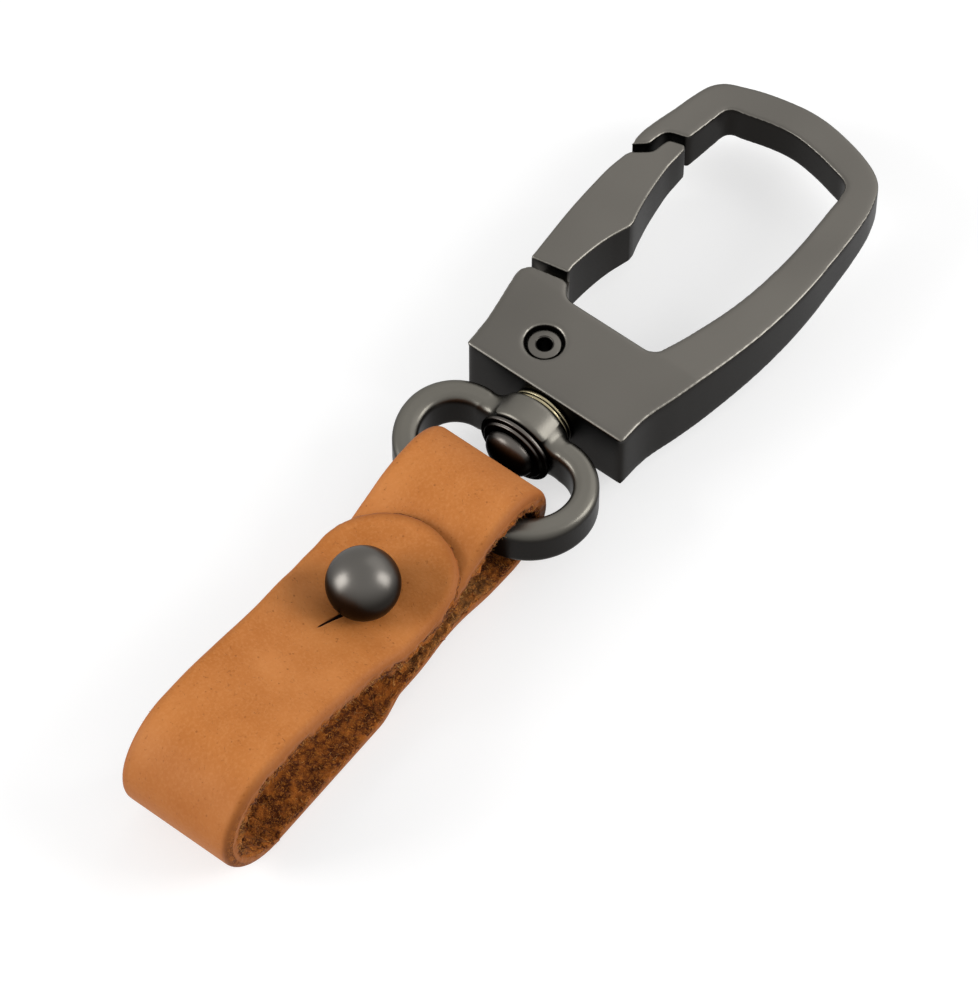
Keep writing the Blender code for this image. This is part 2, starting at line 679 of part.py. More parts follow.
def build_ring(shop):
    """The swivel ring: a flat oval bar joined to a round boss that turns on the pin."""
    mesh = plate_mesh("swivel_ring", [ring_outline(0.0), ring_outline(RING_BAR)], RING_THICKNESS / 2)
    ring = mesh_object("swivel_ring", mesh, ORIGIN, shop.gunmetal, shop.parts, shop.root)
    add_bevel(ring, RING_EDGE, 3)
    far, near = swivel_stack()[1]
    profile = (
        (0.0, near),
        (BOSS_RADIUS - BOSS_EDGE, near),
        (BOSS_RADIUS - BOSS_EDGE * 0.3, near - BOSS_EDGE * 0.3),
        (BOSS_RADIUS, near - BOSS_EDGE),
        (BOSS_RADIUS, far + BOSS_EDGE),
        (BOSS_RADIUS - BOSS_EDGE * 0.3, far + BOSS_EDGE * 0.3),
        (BOSS_RADIUS - BOSS_EDGE, far),
        (0.0, far),
    )
    boss = turned("ring_boss", profile, ORIGIN, shop.gunmetal, shop.cutters, shop.root, True)
    hide(boss)
    combine(ring, boss, "UNION")
    bore = cutter_round(
        "boss_bore", ORIGIN, PIN_RADIUS + RUN_GAP, far - CUT_OVERRUN, near + CUT_OVERRUN, shop, True
    )
    combine(ring, bore, "DIFFERENCE")
    shade(ring)
    return ring


def front_climb():
    """Side view (Y, Z) of the front layer's middle from the stud to the top of the ring's bar."""
    return smooth_run(
        [(STUD_Y + y * BAR_TO_STUD, between(FRONT_Z, LOOP_MIDDLE, z)) for y, z in FRONT_CLIMB_shares]
    )


def back_sink():
    """Side view of the back layer's middle from the stud to the underside of the ring's bar."""
    return smooth_run(
        [(STUD_Y + y * BAR_TO_STUD, between(BACK_Z, -LOOP_MIDDLE, z)) for y, z in BACK_SINK_shares]
    )


def body_path():
    """Side view of the strap's middle from its front end round the ring's bar to the lower fold."""
    path = [(STUD_Y - FRONT_TAIL, FRONT_Z)]
    path += front_climb()[:-1]
    path += arc((BAR_Y, 0.0), LOOP_MIDDLE, 90.0, -90.0, LOOP_STEPS)
    path += back_sink()[-2::-1]
    for i in range(RAMP_STEPS + 1):
        share = i / RAMP_STEPS
        y = STUD_Y - BACK_DROP_START - BACK_DROP_LENGTH * share
        path.append((y, between(BACK_Z, -LOOP_MIDDLE, smooth_share(share))))
    path += arc((FOLD_Y, FOLD_Z), FOLD_MIDDLE, 270.0, 180.0, LOOP_STEPS // 2)
    return path


def tongue_path():
    """Side view of the strap's middle from the lower fold over the stud to past the rounded end."""
    parting = math.degrees(STRIP_GAP / FOLD_MIDDLE)
    path = arc((FOLD_Y, FOLD_Z), FOLD_MIDDLE, 180.0 - parting, 90.0, LOOP_STEPS // 2)
    top = FOLD_Z + FOLD_MIDDLE
    fall = [(FOLD_Y + y * STUD_TO_FOLD, between(top, TONGUE_Z, z)) for y, z in TONGUE_FALL_shares]
    path += smooth_run(fall)[1:]
    path += offset_run(front_climb(), TONGUE_LIFT)[1:-2]
    return path


def ribbon(name, path, origin, shop):
    """A strip of leather along the side view, open on both flanks, given its thickness by Solidify."""
    mesh = bpy.data.meshes.new(name)
    shape = bmesh.new()
    half = STRAP_WIDTH / 2
    rows = [[shape.verts.new((x, y, z)) for x in (-half, half)] for y, z in path]
    for (left, right), (next_left, next_right) in zip(rows, rows[1:]):
        shape.faces.new((left, right, next_right, next_left))
    bmesh.ops.recalc_face_normals(shape, faces=shape.faces)
    shape.to_mesh(mesh)
    shape.free()
    shift_mesh(mesh, origin)
    strip = mesh_object(name, mesh, origin, shop.leather, shop.parts, shop.root)
    solid = strip.modifiers.new("leather", "SOLIDIFY")
    solid.thickness = STRAP_THICKNESS
    solid.offset = 0.0
    solid.use_even_offset = True
    return strip


def build_strap(shop):
    """The strap up to its lower fold. Its origin is the middle of the ring's bar, which it swings on."""
    strap = ribbon("strap", body_path(), Vector((0.0, BAR_Y, 0.0)), shop)
    far = FLOOR_Z - CUT_OVERRUN
    near = FRONT_Z + STRAP_THICKNESS
    hole = cutter_round("screw_hole", STUD, SCREW_RADIUS + RUN_GAP, far, near, shop)
    combine(strap, hole, "DIFFERENCE")
    seat = cutter_round(
        "flange_seat", STUD, FLANGE_RADIUS + SEAT_GAP, FLANGE_Z - SEAT_GAP, near, shop
    )
    combine(strap, seat, "DIFFERENCE")
    return strap


def tongue_plan():
    """The tongue seen from above: parallel flanks and an elliptical end."""
    half = STRAP_WIDTH / 2 + CUT_OVERRUN
    start = FOLD_Y - FOLD_RADIUS - CUT_OVERRUN
    side = STUD_Y + TONGUE_END - TONGUE_END_DEPTH
    turns = [math.radians(180.0 * i / LOOP_STEPS) for i in range(LOOP_STEPS + 1)]
    end = [
        (STRAP_WIDTH / 2 * math.cos(turn), side + TONGUE_END_DEPTH * math.sin(turn)) for turn in turns
    ]
    return [(half, start), (half, side - WELD), *end, (-half, side - WELD), (-half, start)]


def build_tongue(shop):
    """The strap's button tongue from the lower fold on. It opens about its origin, the fold's far point."""
    fold = Vector((0.0, FOLD_Y - FOLD_MIDDLE, FOLD_Z))
    tongue = ribbon("strap_tongue", tongue_path(), fold, shop)
    high = FOLD_Z + FOLD_RADIUS + BALL_RADIUS
    low = FLOOR_Z - CUT_OVERRUN
    combine(tongue, cutter_plate("tongue_end", tongue_plan(), low, high, shop), "INTERSECT")
    hole = cutter_round("button_hole", STUD, NECK_RADIUS + RUN_GAP, FRONT_Z, high, shop)
    combine(tongue, hole, "DIFFERENCE")
    half = BUTTON_SLIT_WIDTH / 2
    tip_y = STUD_Y - BUTTON_SLIT_REACH
    tip_x = STUD_X - BUTTON_SLIT_LEAN * BUTTON_SLIT_REACH
    slit = [(STUD_X - half, STUD_Y), (tip_x - half, tip_y), (tip_x + half, tip_y), (STUD_X + half, STUD_Y)]
    combine(tongue, cutter_plate("button_slit", slit, FRONT_Z, high, shop), "DIFFERENCE")
    return tongue


def build_stud(shop):
    """The ball stud: ball, neck through the tongue, flange on the front layer, bored for its screw."""
    base = FLANGE_Z
    flange = base + FLANGE_THICKNESS
    start = math.asin(-BALL_OVER_LEATHER / BALL_RADIUS) + math.radians(2.0)
    ball = [
        (BALL_RADIUS * math.cos(turn), BALL_Z + BALL_RADIUS * math.sin(turn))
        for turn in (between(math.pi / 2, start, i / LOOP_STEPS) for i in range(LOOP_STEPS + 1))
    ]
    bore = SCREW_RADIUS + SEAT_GAP
    deep = FRONT_Z - LEATHER_HALF + SCREW_DEPTH + SEAT_GAP
    profile = [
        (0.0, BALL_Z + BALL_RADIUS),
        *ball[1:],
        (NECK_RADIUS, ball[-1][1]),
        (NECK_RADIUS, flange),
        (FLANGE_RADIUS, flange),
        (FLANGE_RADIUS, base),
        (bore, base),
        (bore, deep),
        (0.0, deep),
    ]
    return turned("ball_stud", profile, STUD, shop.stud, shop.parts, shop.root)


def build_screw(shop):
    """The stud's screw from behind, with a slotted flat head."""
    under = BACK_Z - LEATHER_HALF - SEAT_GAP
    low = under - SCREW_HEAD_THICKNESS
    edge = SCREW_HEAD_THICKNESS / 3
    top = FRONT_Z - LEATHER_HALF + SCREW_DEPTH
    profile = (
        (0.0, top),
        (SCREW_RADIUS, top),
        (SCREW_RADIUS, under),
        (SCREW_HEAD_RADIUS, under),
        (SCREW_HEAD_RADIUS, low + edge),
        (SCREW_HEAD_RADIUS - edge, low),
        (0.0, low),
    )
    screw = turned("stud_screw", profile, STUD, shop.stud, shop.parts, shop.root)
    half = SCREW_SLOT_WIDTH / 2
    reach = SCREW_HEAD_RADIUS + CUT_OVERRUN
    slot = [
        (STUD_X + x * reach, STUD_Y + y * half)
        for x, y in ((-1.0, -1.0), (1.0, -1.0), (1.0, 1.0), (-1.0, 1.0))
    ]
    cutter = cutter_plate("screw_slot", slot, low - CUT_OVERRUN, low + SCREW_SLOT_DEPTH, shop)
    combine(screw, cutter, "DIFFERENCE")
    return screw


def main():
    clear_scene()
    shop = Shop()
    build_frame(shop)
    build_gate(shop)
    build_rivet(shop)
    build_spring(shop)
    build_pin(shop)
    build_washers(shop)
    build_ring(shop)
    build_strap(shop)
    build_tongue(shop)
    build_stud(shop)
    build_screw(shop)


main()
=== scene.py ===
"""Looks of the leather strap keychain with its swivel carabiner hook.

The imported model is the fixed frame. The castings keep its shapes, the turned pieces, the swivel ring and the
leather are modelled afresh round it, and each finish is a node material that reads lengths in metres.
"""

import logging
import math
import random
from collections.abc import Callable, Sequence
from dataclasses import dataclass, field
from enum import Enum

import bmesh
import bpy
import numpy as np
from mathutils import Matrix, Vector, noise


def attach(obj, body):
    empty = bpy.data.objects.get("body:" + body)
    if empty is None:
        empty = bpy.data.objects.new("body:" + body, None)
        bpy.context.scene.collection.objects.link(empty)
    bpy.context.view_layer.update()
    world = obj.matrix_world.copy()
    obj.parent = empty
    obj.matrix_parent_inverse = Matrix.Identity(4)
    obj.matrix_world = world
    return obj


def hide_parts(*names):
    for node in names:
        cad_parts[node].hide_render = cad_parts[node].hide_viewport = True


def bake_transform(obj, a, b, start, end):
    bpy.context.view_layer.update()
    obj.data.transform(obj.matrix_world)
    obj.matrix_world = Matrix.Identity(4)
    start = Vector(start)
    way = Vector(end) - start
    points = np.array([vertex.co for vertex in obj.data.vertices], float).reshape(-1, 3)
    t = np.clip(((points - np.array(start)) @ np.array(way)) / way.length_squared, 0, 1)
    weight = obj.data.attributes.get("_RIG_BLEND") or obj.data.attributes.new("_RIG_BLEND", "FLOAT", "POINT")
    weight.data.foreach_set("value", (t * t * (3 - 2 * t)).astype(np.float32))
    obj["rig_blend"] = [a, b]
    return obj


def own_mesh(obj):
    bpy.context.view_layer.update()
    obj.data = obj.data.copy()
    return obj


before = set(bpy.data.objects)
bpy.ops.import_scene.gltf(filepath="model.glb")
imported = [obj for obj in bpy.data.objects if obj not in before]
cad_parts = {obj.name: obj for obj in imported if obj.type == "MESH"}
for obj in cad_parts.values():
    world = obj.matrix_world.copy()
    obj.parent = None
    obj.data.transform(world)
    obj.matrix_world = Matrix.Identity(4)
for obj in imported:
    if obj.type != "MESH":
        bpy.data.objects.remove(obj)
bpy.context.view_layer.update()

MM = 0.001
# Places on a piece that are closer than this count as the same.
MICRON = 0.001 * MM
# Edges that turn by more than this are sharp.
SHARP = math.radians(60.0)
# A node that mixes two colours, and the numbers of its two colour inputs.
MIX = {"kind": "ShaderNodeMix", "output": 2, "data_type": "RGBA"}
MIX_A = 6
MIX_B = 7
Pair = tuple[float, float]
Triple = tuple[float, float, float]
Colour = tuple[float, float, float, float]
Lie = Callable[[np.ndarray, np.ndarray], tuple[np.ndarray, np.ndarray]]

# Where the maker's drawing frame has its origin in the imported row: the swivel's axis at the base's end face.
AXIS = Vector((-0.65, 7.175, 6.1)) * MM


def linear(hex_colour: str) -> Colour:
    """Turns an sRGB hex colour to linear RGBA.

    Args:
        hex_colour: six hex digits after a hash sign.

    Returns:
        The linear red, green and blue, and 1 for alpha.
    """
    parts = [int(hex_colour[i : i + 2], 16) / 255 for i in (1, 3, 5)]
    red, green, blue = (c / 12.92 if c <= 0.04045 else ((c + 0.055) / 1.055) ** 2.4 for c in parts)
    return (red, green, blue, 1.0)


def add_node(
    tree: bpy.types.NodeTree,
    kind: str,
    inputs: dict[str | int, object] | None = None,
    output: str | int = 0,
    **settings: str | float,
) -> bpy.types.NodeSocket:
    """Adds one node with its settings and links.

    Args:
        tree: the node tree that gets it.
        kind: the node's type name.
        inputs: socket name or index against a value or the output socket that feeds it.
        output: name or index of the output that is wanted.
        settings: the node's own properties.

    Returns:
        That output socket of the new node.
    """
    node = tree.nodes.new(kind)
    for name, value in settings.items():
        setattr(node, name, value)
    for key, value in (inputs or {}).items():
        if isinstance(value, bpy.types.NodeSocket):
            tree.links.new(value, node.inputs[key])
        else:
            node.inputs[key].default_value = value
    return node.outputs[output]


def new_material(name: str) -> tuple[bpy.types.Material, bpy.types.NodeTree, bpy.types.Node]:
    """Makes a material with nodes.

    Args:
        name: what the real material is.

    Returns:
        The material, its tree and its Principled shader.
    """
    material = bpy.data.materials.new(name)
    material.use_nodes = True
    return material, material.node_tree, material.node_tree.nodes["Principled BSDF"]


class WearAndShade(Enum):
    """Names of the mesh attributes that the finishes read: painted light and shade by the way a metal face looks, pale
    edges that are partly painted highlight, the leather's flat place, and how raw it is, which also carries painted
    shade.
    """

    PAINTED_LIGHT_BY_FACING = "painted_light_by_facing"
    EDGE = "rubbed_edge"
    PLACE = "flat_place"
    RAW_AND_SHADE = "raw_leather_and_shade"


@dataclass(frozen=True)
class PlatedMetal:
    """A plated and satin polished casting or turned piece.

    The faces get a paler tone where they look up or down, and the walls and undersides a darker one, which is painted
    shade. The plating is faintly clouded, a fine grit breaks up its reflections, and the edges are painted pale, partly
    as abraded plating and partly as painted highlight. Real polishing grit leaves marks of a few hundredths of a
    millimetre.
    They are drawn coarser here, so that they show.
    """

    name: str
    slot: str
    # The first colour is the lit tone of the faces, the second the painted shade of the walls and undersides, and the
    # third the pale tone of the edges and clouds, partly painted highlight.
    face: str
    wall: str
    rubbed: str
    roughness: float
    grit: float = 0.14 * MM
    cloud: float = 15.0 * MM
    grit_depth: float = 0.003 * MM
    cloud_share: float = 0.12
    glancing: float = 0.7

    def material(self) -> bpy.types.Material:
        """Makes the material from the piece's own attributes of painted light and shade and of pale edges.

        Returns:
            The material.
        """
        material, tree, shader = new_material(self.name)
        place = add_node(tree, "ShaderNodeTexCoord", output="Object")
        lit_share = add_node(tree, "ShaderNodeAttribute", output="Fac", attribute_name=WearAndShade.PAINTED_LIGHT_BY_FACING.value)
        edge = add_node(tree, "ShaderNodeAttribute", output="Fac", attribute_name=WearAndShade.EDGE.value)
        cloud = add_node(tree, "ShaderNodeTexNoise", {"Vector": place, "Scale": 1 / self.cloud, "Detail": 1.0})
        grit = add_node(tree, "ShaderNodeTexNoise", {"Vector": place, "Scale": 1 / self.grit, "Detail": 4.0})
        # Lit tone on the faces, faintly clouded where the plating is thinner, against the painted shade of the walls
        # and undersides.
        thin = add_node(
            tree, "ShaderNodeMapRange", {"Value": cloud, "From Min": 0.35, "From Max": 0.65, "To Max": self.cloud_share}
        )
        base = add_node(tree, inputs={0: thin, MIX_A: linear(self.face), MIX_B: linear(self.rubbed)}, **MIX)
        base = add_node(tree, inputs={0: lit_share, MIX_A: linear(self.wall), MIX_B: base}, **MIX)
        # Pale edges, partly abraded plating and partly painted highlight, broken up by the grit.
        worn = add_node(
            tree, "ShaderNodeMapRange", {"Value": grit, "From Min": 0.2, "From Max": 0.6, "To Min": 0.3, "To Max": 0.7}
        )
        worn = add_node(tree, "ShaderNodeMath", {0: edge, 1: worn}, operation="MULTIPLY")
        base = add_node(tree, inputs={0: worn, MIX_A: base, MIX_B: linear(self.rubbed)}, **MIX)
        gloss = add_node(
            tree,
            "ShaderNodeMapRange",
            {"Value": grit, "To Min": self.roughness - 0.05, "To Max": self.roughness + 0.07},
        )
        bump = add_node(tree, "ShaderNodeBump", {"Height": grit, "Distance": self.grit_depth, "Strength": 1.0})
        tree.links.new(base, shader.inputs["Base Color"])
        tree.links.new(gloss, shader.inputs["Roughness"])
        tree.links.new(bump, shader.inputs["Normal"])
        shader.inputs["Metallic"].default_value = 1.0
        shader.inputs["Specular Tint"].default_value = (self.glancing, self.glancing, self.glancing, 1.0)
        return material


@dataclass(frozen=True)
class TanLeather:
    """Vegetable-tanned cowhide.

    The grain side is matt, mottled and pitted with small dark hair pores and specks. The cut edge darkens where
    it is burnished and turns to raw brown fibre towards the flesh side, with loose fibres in a golden brown. Real
    pores stand closer together. They are spaced wider here, so that single ones show.
    """

    name: str = "vegetable tanned leather"
    slot: str = "leather"
    grain: str = "#ca7f40"
    grain_deep: str = "#b86d2e"
    grain_pale: str = "#d59154"
    speck: str = "#8c4c1c"
    # The burnished cut edge, and also the painted shade where the grain side bends.
    burnish_and_bend_shade: str = "#8f4f1c"
    flesh_deep: str = "#4e2000"
    flesh: str = "#a35a1c"
    fibre: str = "#c67a2e"
    gold: str = "#dca25c"
    # The painted shade of the walls inside the holes.
    hole_shade: str = "#2c1002"
    pore_spacing: float = 1.3 * MM
    speck_size: float = 0.45 * MM
    pebble: float = 0.30 * MM
    mottle: float = 6.0 * MM
    crumb: float = 0.65 * MM
    patch: float = 1.7 * MM
    strand: float = 0.26 * MM
    skin_depth: float = 0.03 * MM
    nap_depth: float = 0.10 * MM

    def material(self) -> bpy.types.Material:
        """Makes the material, whose patterns read the strip's flat place and so follow every fold.

        Returns:
            The material.
        """
        material, tree, shader = new_material(self.name)
        place = add_node(tree, "ShaderNodeAttribute", output="Vector", attribute_name=WearAndShade.PLACE.value)
        # This number also carries painted shade: where the strip bends on the grain side, and below 0 on the walls of
        # the holes.
        raw = add_node(tree, "ShaderNodeAttribute", output="Fac", attribute_name=WearAndShade.RAW_AND_SHADE.value)
        mottle = add_node(tree, "ShaderNodeTexNoise", {"Vector": place, "Scale": 1 / self.mottle, "Detail": 6.0})
        pebble = add_node(tree, "ShaderNodeTexNoise", {"Vector": place, "Scale": 1 / self.pebble, "Detail": 3.0})
        speckle = {"Vector": place, "Scale": 1 / self.speck_size, "Detail": 2.0, "Distortion": 1.2}
        fleck = add_node(tree, "ShaderNodeTexNoise", speckle)
        pore = add_node(tree, "ShaderNodeTexVoronoi", {"Vector": place, "Scale": 1 / self.pore_spacing})
        strand = add_node(
            tree, "ShaderNodeTexNoise", {"Vector": place, "Scale": 1 / self.strand, "Detail": 3.0, "Distortion": 1.5}
        )
        torn = add_node(
            tree, "ShaderNodeTexNoise", {"Vector": place, "Scale": 2 / self.crumb, "Detail": 2.0}, output="Color"
        )
        torn = add_node(
            tree, "ShaderNodeVectorMath", {0: torn, 1: (self.crumb, self.crumb, self.crumb)}, operation="MULTIPLY"
        )
        torn = add_node(tree, "ShaderNodeVectorMath", {0: place, 1: torn}, operation="ADD")
        crumb = add_node(tree, "ShaderNodeTexVoronoi", {"Vector": torn, "Scale": 1 / self.crumb})
        # Grain side: cloudy tan, paler pebbles, dark specks and pores.
        share = add_node(tree, "ShaderNodeMapRange", {"Value": mottle, "From Min": 0.32, "From Max": 0.68})
        skin = add_node(tree, inputs={0: share, MIX_A: linear(self.grain_deep), MIX_B: linear(self.grain)}, **MIX)
        share = add_node(
            tree, "ShaderNodeMapRange", {"Value": pebble, "From Min": 0.45, "From Max": 0.8, "To Max": 0.4}
        )
        skin = add_node(tree, inputs={0: share, MIX_A: skin, MIX_B: linear(self.grain_pale)}, **MIX)
        dark = add_node(
            tree, "ShaderNodeMapRange", {"Value": fleck, "From Min": 0.64, "From Max": 0.76, "To Max": 0.6}
        )
        fade = {"Value": pore, "From Min": 0.03, "From Max": 0.12, "To Min": 0.7, "To Max": 0.0}
        hole = add_node(tree, "ShaderNodeMapRange", fade)
        hole = add_node(tree, "ShaderNodeMath", {0: dark, 1: hole}, operation="MAXIMUM")
        skin = add_node(tree, inputs={0: hole, MIX_A: skin, MIX_B: linear(self.speck)}, **MIX)
        # Cut edge: burnished darker before the fibres begin. The same colour paints shade where the grain side bends.
        share = add_node(
            tree, "ShaderNodeMapRange", {"Value": raw, "From Min": 0.05, "From Max": 0.5, "To Max": 0.85}
        )
        skin = add_node(tree, inputs={0: share, MIX_A: skin, MIX_B: linear(self.burnish_and_bend_shade)}, **MIX)
        # Flesh side and raw edge: brown crumbs with dark gaps and pale strands.
        patch = add_node(tree, "ShaderNodeTexNoise", {"Vector": place, "Scale": 1 / self.patch, "Detail": 3.0})
        share = add_node(tree, "ShaderNodeMath", {0: crumb, 1: patch, 2: 0.5}, operation="MULTIPLY_ADD")
        share = add_node(tree, "ShaderNodeMath", {0: share, 1: patch}, operation="ADD")
        fade = {"Value": share, "From Min": 0.98, "From Max": 1.36, "To Min": 1.0, "To Max": 0.0}
        share = add_node(tree, "ShaderNodeMapRange", fade)
        nap = add_node(tree, inputs={0: share, MIX_A: linear(self.flesh_deep), MIX_B: linear(self.flesh)}, **MIX)
        share = add_node(
            tree, "ShaderNodeMapRange", {"Value": strand, "From Min": 0.5, "From Max": 0.68, "To Max": 0.8}
        )
        nap = add_node(tree, inputs={0: share, MIX_A: nap, MIX_B: linear(self.fibre)}, **MIX)
        share = add_node(tree, "ShaderNodeMapRange", {"Value": raw, "From Min": 1.2, "From Max": 1.9})
        nap = add_node(tree, inputs={0: share, MIX_A: nap, MIX_B: linear(self.gold)}, **MIX)
        fibrous = add_node(tree, "ShaderNodeMapRange", {"Value": raw, "From Min": 0.5, "From Max": 0.8})
        colour = add_node(tree, inputs={0: fibrous, MIX_A: skin, MIX_B: nap}, **MIX)
        # Painted shade: the walls inside the holes are painted nearly black, as shade falls in a narrow slit.
        hole_shaded = add_node(tree, "ShaderNodeMapRange", {"Value": raw, "From Min": -0.1, "From Max": -0.6})
        colour = add_node(tree, inputs={0: hole_shaded, MIX_A: colour, MIX_B: linear(self.hole_shade)}, **MIX)
        gloss = add_node(tree, "ShaderNodeMapRange", {"Value": fibrous, "To Min": 0.62, "To Max": 0.95})
        # Relief: pebbled skin with sunk pores, against crumbs and strands.
        sunk = add_node(tree, "ShaderNodeMath", {0: pebble, 1: hole}, operation="SUBTRACT")
        sunk = add_node(tree, "ShaderNodeMath", {0: sunk, 1: self.skin_depth}, operation="MULTIPLY")
        deep = add_node(tree, "ShaderNodeMath", {0: strand, 1: crumb}, operation="SUBTRACT")
        deep = add_node(tree, "ShaderNodeMath", {0: deep, 1: self.nap_depth}, operation="MULTIPLY")
        height = add_node(tree, "ShaderNodeMix", {0: fibrous, 2: sunk, 3: deep}, data_type="FLOAT")
        bump = add_node(tree, "ShaderNodeBump", {"Height": height, "Distance": 1.0, "Strength": 1.0})
        tree.links.new(colour, shader.inputs["Base Color"])
        tree.links.new(gloss, shader.inputs["Roughness"])
        tree.links.new(bump, shader.inputs["Normal"])
        shader.inputs["Specular IOR Level"].default_value = 0.22
        shader.inputs["Sheen Weight"].default_value = 0.03
        return material


@dataclass(frozen=True)
class Softbox:
    """A rectangular lamp that looks at the aim point. Its glow is how bright its face looks, where 1 is white."""

    name: str
    towards: Triple
    distance: float
    width: float
    height: float
    glow: float


@dataclass
class Studio:
    """Pale floor, soft light and the camera at the photograph's viewing angle."""

    turn: float = math.radians(37.6)
    rise: float = math.radians(58.2)
    distance: float = 600.0 * MM
    aim: Vector = field(default_factory=lambda: AXIS + Vector((0.0, 0.0, 4.25 * MM)))
    aim_pixel: Pair = (545.0, 393.0)
    picture: Pair = (978.0, 984.0)
    pixels_per_metre: float = 9600.0
    sensor: float = 36.0
    floor_size: float = 4.0
    floor_drop: float = 0.03 * MM
    floor_white: float = 0.5
    floor_glow: float = 0.58
    world_light: float = 0.445
    lamps: tuple[Softbox, ...] = (
        Softbox("softbox_back", (0.05, 0.75, 0.60), 0.50, 0.40, 0.40, 0.7),
        Softbox("softbox_left", (-0.66, -0.69, 0.30), 0.60, 0.31, 0.50, 6.6),
        Softbox("softbox_right", (0.76, 0.50, 0.43), 0.60, 0.29, 0.46, 5.7),
    )

    def build(self) -> None:
        """Makes the camera, the world, the lamps and the floor."""
        self.make_camera()
        self.make_world()
        self.make_floor()
        for lamp in self.lamps:
            self.make_softbox(lamp)

    def make_camera(self) -> None:
        """Places the camera so that the aim point falls on its pixel, with no shift."""
        back = Vector((
            math.sin(self.turn) * math.cos(self.rise),
            -math.cos(self.turn) * math.cos(self.rise),
            math.sin(self.rise),
        ))
        right = Vector((math.cos(self.turn), math.sin(self.turn), 0.0))
        up = back.cross(right)
        aside = (self.aim_pixel[0] - self.picture[0] / 2) / self.pixels_per_metre
        above = (self.picture[1] / 2 - self.aim_pixel[1]) / self.pixels_per_metre
        place = self.aim + back * self.distance - right * aside - up * above
        data = bpy.data.cameras.new("studio_camera")
        data.sensor_width = self.sensor
        data.lens = self.sensor * self.pixels_per_metre * self.distance / max(self.picture)
        data.clip_start = self.distance / 10
        data.clip_end = self.distance * 20
        camera = bpy.data.objects.new("studio_camera", data)
        bpy.context.scene.collection.objects.link(camera)
        turned = Matrix((right, up, back)).transposed()
        camera.matrix_world = Matrix.Translation(place) @ turned.to_4x4()
        bpy.context.scene.camera = camera

    @staticmethod
    def seen_directly(tree: bpy.types.NodeTree) -> bpy.types.NodeSocket:
        """Tells what the camera, gloss or glass sees from the light that falls on the keychain.

        Args:
            tree: the node tree that asks.

        Returns:
            The socket that is 1 for what is seen and 0 for light.
        """
        path = add_node(tree, "ShaderNodeLightPath").node
        camera, gloss, glass = (path.outputs[f"Is {kind} Ray"] for kind in ("Camera", "Glossy", "Transmission"))
        seen = add_node(tree, "ShaderNodeMath", {0: camera, 1: gloss}, operation="ADD")
        return add_node(tree, "ShaderNodeMath", {0: seen, 1: glass}, operation="ADD", use_clamp=True)

    def make_world(self) -> None:
        """A white surround for camera and gloss, and a softer one for the light that it casts."""
        world = bpy.data.worlds.new("studio")
        world.use_nodes = True
        tree = world.node_tree
        seen = self.seen_directly(tree)
        strength = add_node(tree, "ShaderNodeMapRange", {"Value": seen, "To Min": self.world_light, "To Max": 1.0})
        tree.links.new(strength, tree.nodes["Background"].inputs["Strength"])
        tree.nodes["Background"].inputs["Color"].default_value = (1.0, 1.0, 1.0, 1.0)
        bpy.context.scene.world = world
        bpy.context.scene.view_settings.view_transform = "Standard"

    def make_floor(self) -> None:
        """A plain white floor that keeps the keychain's shadow."""
        shape = bmesh.new()
        bmesh.ops.create_grid(shape, x_segments=1, y_segments=1, size=self.floor_size / 2)
        bmesh.ops.translate(shape, verts=shape.verts, vec=(0.0, 0.0, -self.floor_drop))
        material, tree, shader = new_material("matt white floor")
        shader.inputs["Base Color"].default_value = (self.floor_white, self.floor_white, self.floor_white, 1.0)
        shader.inputs["Roughness"].default_value = 1.0
        shader.inputs["Specular IOR Level"].default_value = 0.0
        seen = self.seen_directly(tree)
        glow = add_node(tree, "ShaderNodeMath", {0: seen, 1: self.floor_glow}, operation="MULTIPLY")
        shader.inputs["Emission Color"].default_value = (1.0, 1.0, 1.0, 1.0)
        tree.links.new(glow, shader.inputs["Emission Strength"])
        finished("floor", shape, material)

    def make_softbox(self, softbox: Softbox) -> None:
        """Hangs a lamp where it looks at the aim point.

        Args:
            softbox: the lamp.
        """
        data = bpy.data.lights.new(softbox.name, "AREA")
        data.shape = "RECTANGLE"
        data.size = softbox.width
        data.size_y = softbox.height
        data.energy = softbox.glow * math.pi * softbox.width * softbox.height
        lamp = bpy.data.objects.new(softbox.name, data)
        bpy.context.scene.collection.objects.link(lamp)
        towards = Vector(softbox.towards).normalized()
        turned = towards.to_track_quat("Z", "Y").to_matrix().to_4x4()
        lamp.matrix_world = Matrix.Translation(self.aim + towards * softbox.distance) @ turned


def finished(name: str, shape: bmesh.types.BMesh, material: bpy.types.Material) -> bpy.types.Object:
    """Turns a bmesh into a smooth-shaded object at the origin and frees it.

    Args:
        name: the piece's name.
        shape: its shape, in the row frame.
        material: its finish.

    Returns:
        The object.
    """
    mesh = bpy.data.meshes.new(name)
    shape.to_mesh(mesh)
    shape.free()
    mesh.shade_smooth()
    mesh.materials.append(material)
    item = bpy.data.objects.new(name, mesh)
    bpy.context.scene.collection.objects.link(item)
    return item


def set_attribute(mesh: bpy.types.Mesh, wear: WearAndShade, values: np.ndarray) -> None:
    """Writes one number, or three, for each vertex.

    Args:
        mesh: the mesh that gets the attribute.
        wear: which attribute.
        values: an array of one row a vertex.
    """
    if values.ndim == 1:
        mesh.attributes.new(wear.value, "FLOAT", "POINT").data.foreach_set("value", values.astype(np.float32))
    else:
        data = mesh.attributes.new(wear.value, "FLOAT_VECTOR", "POINT").data
        data.foreach_set("vector", values.astype(np.float32).ravel())


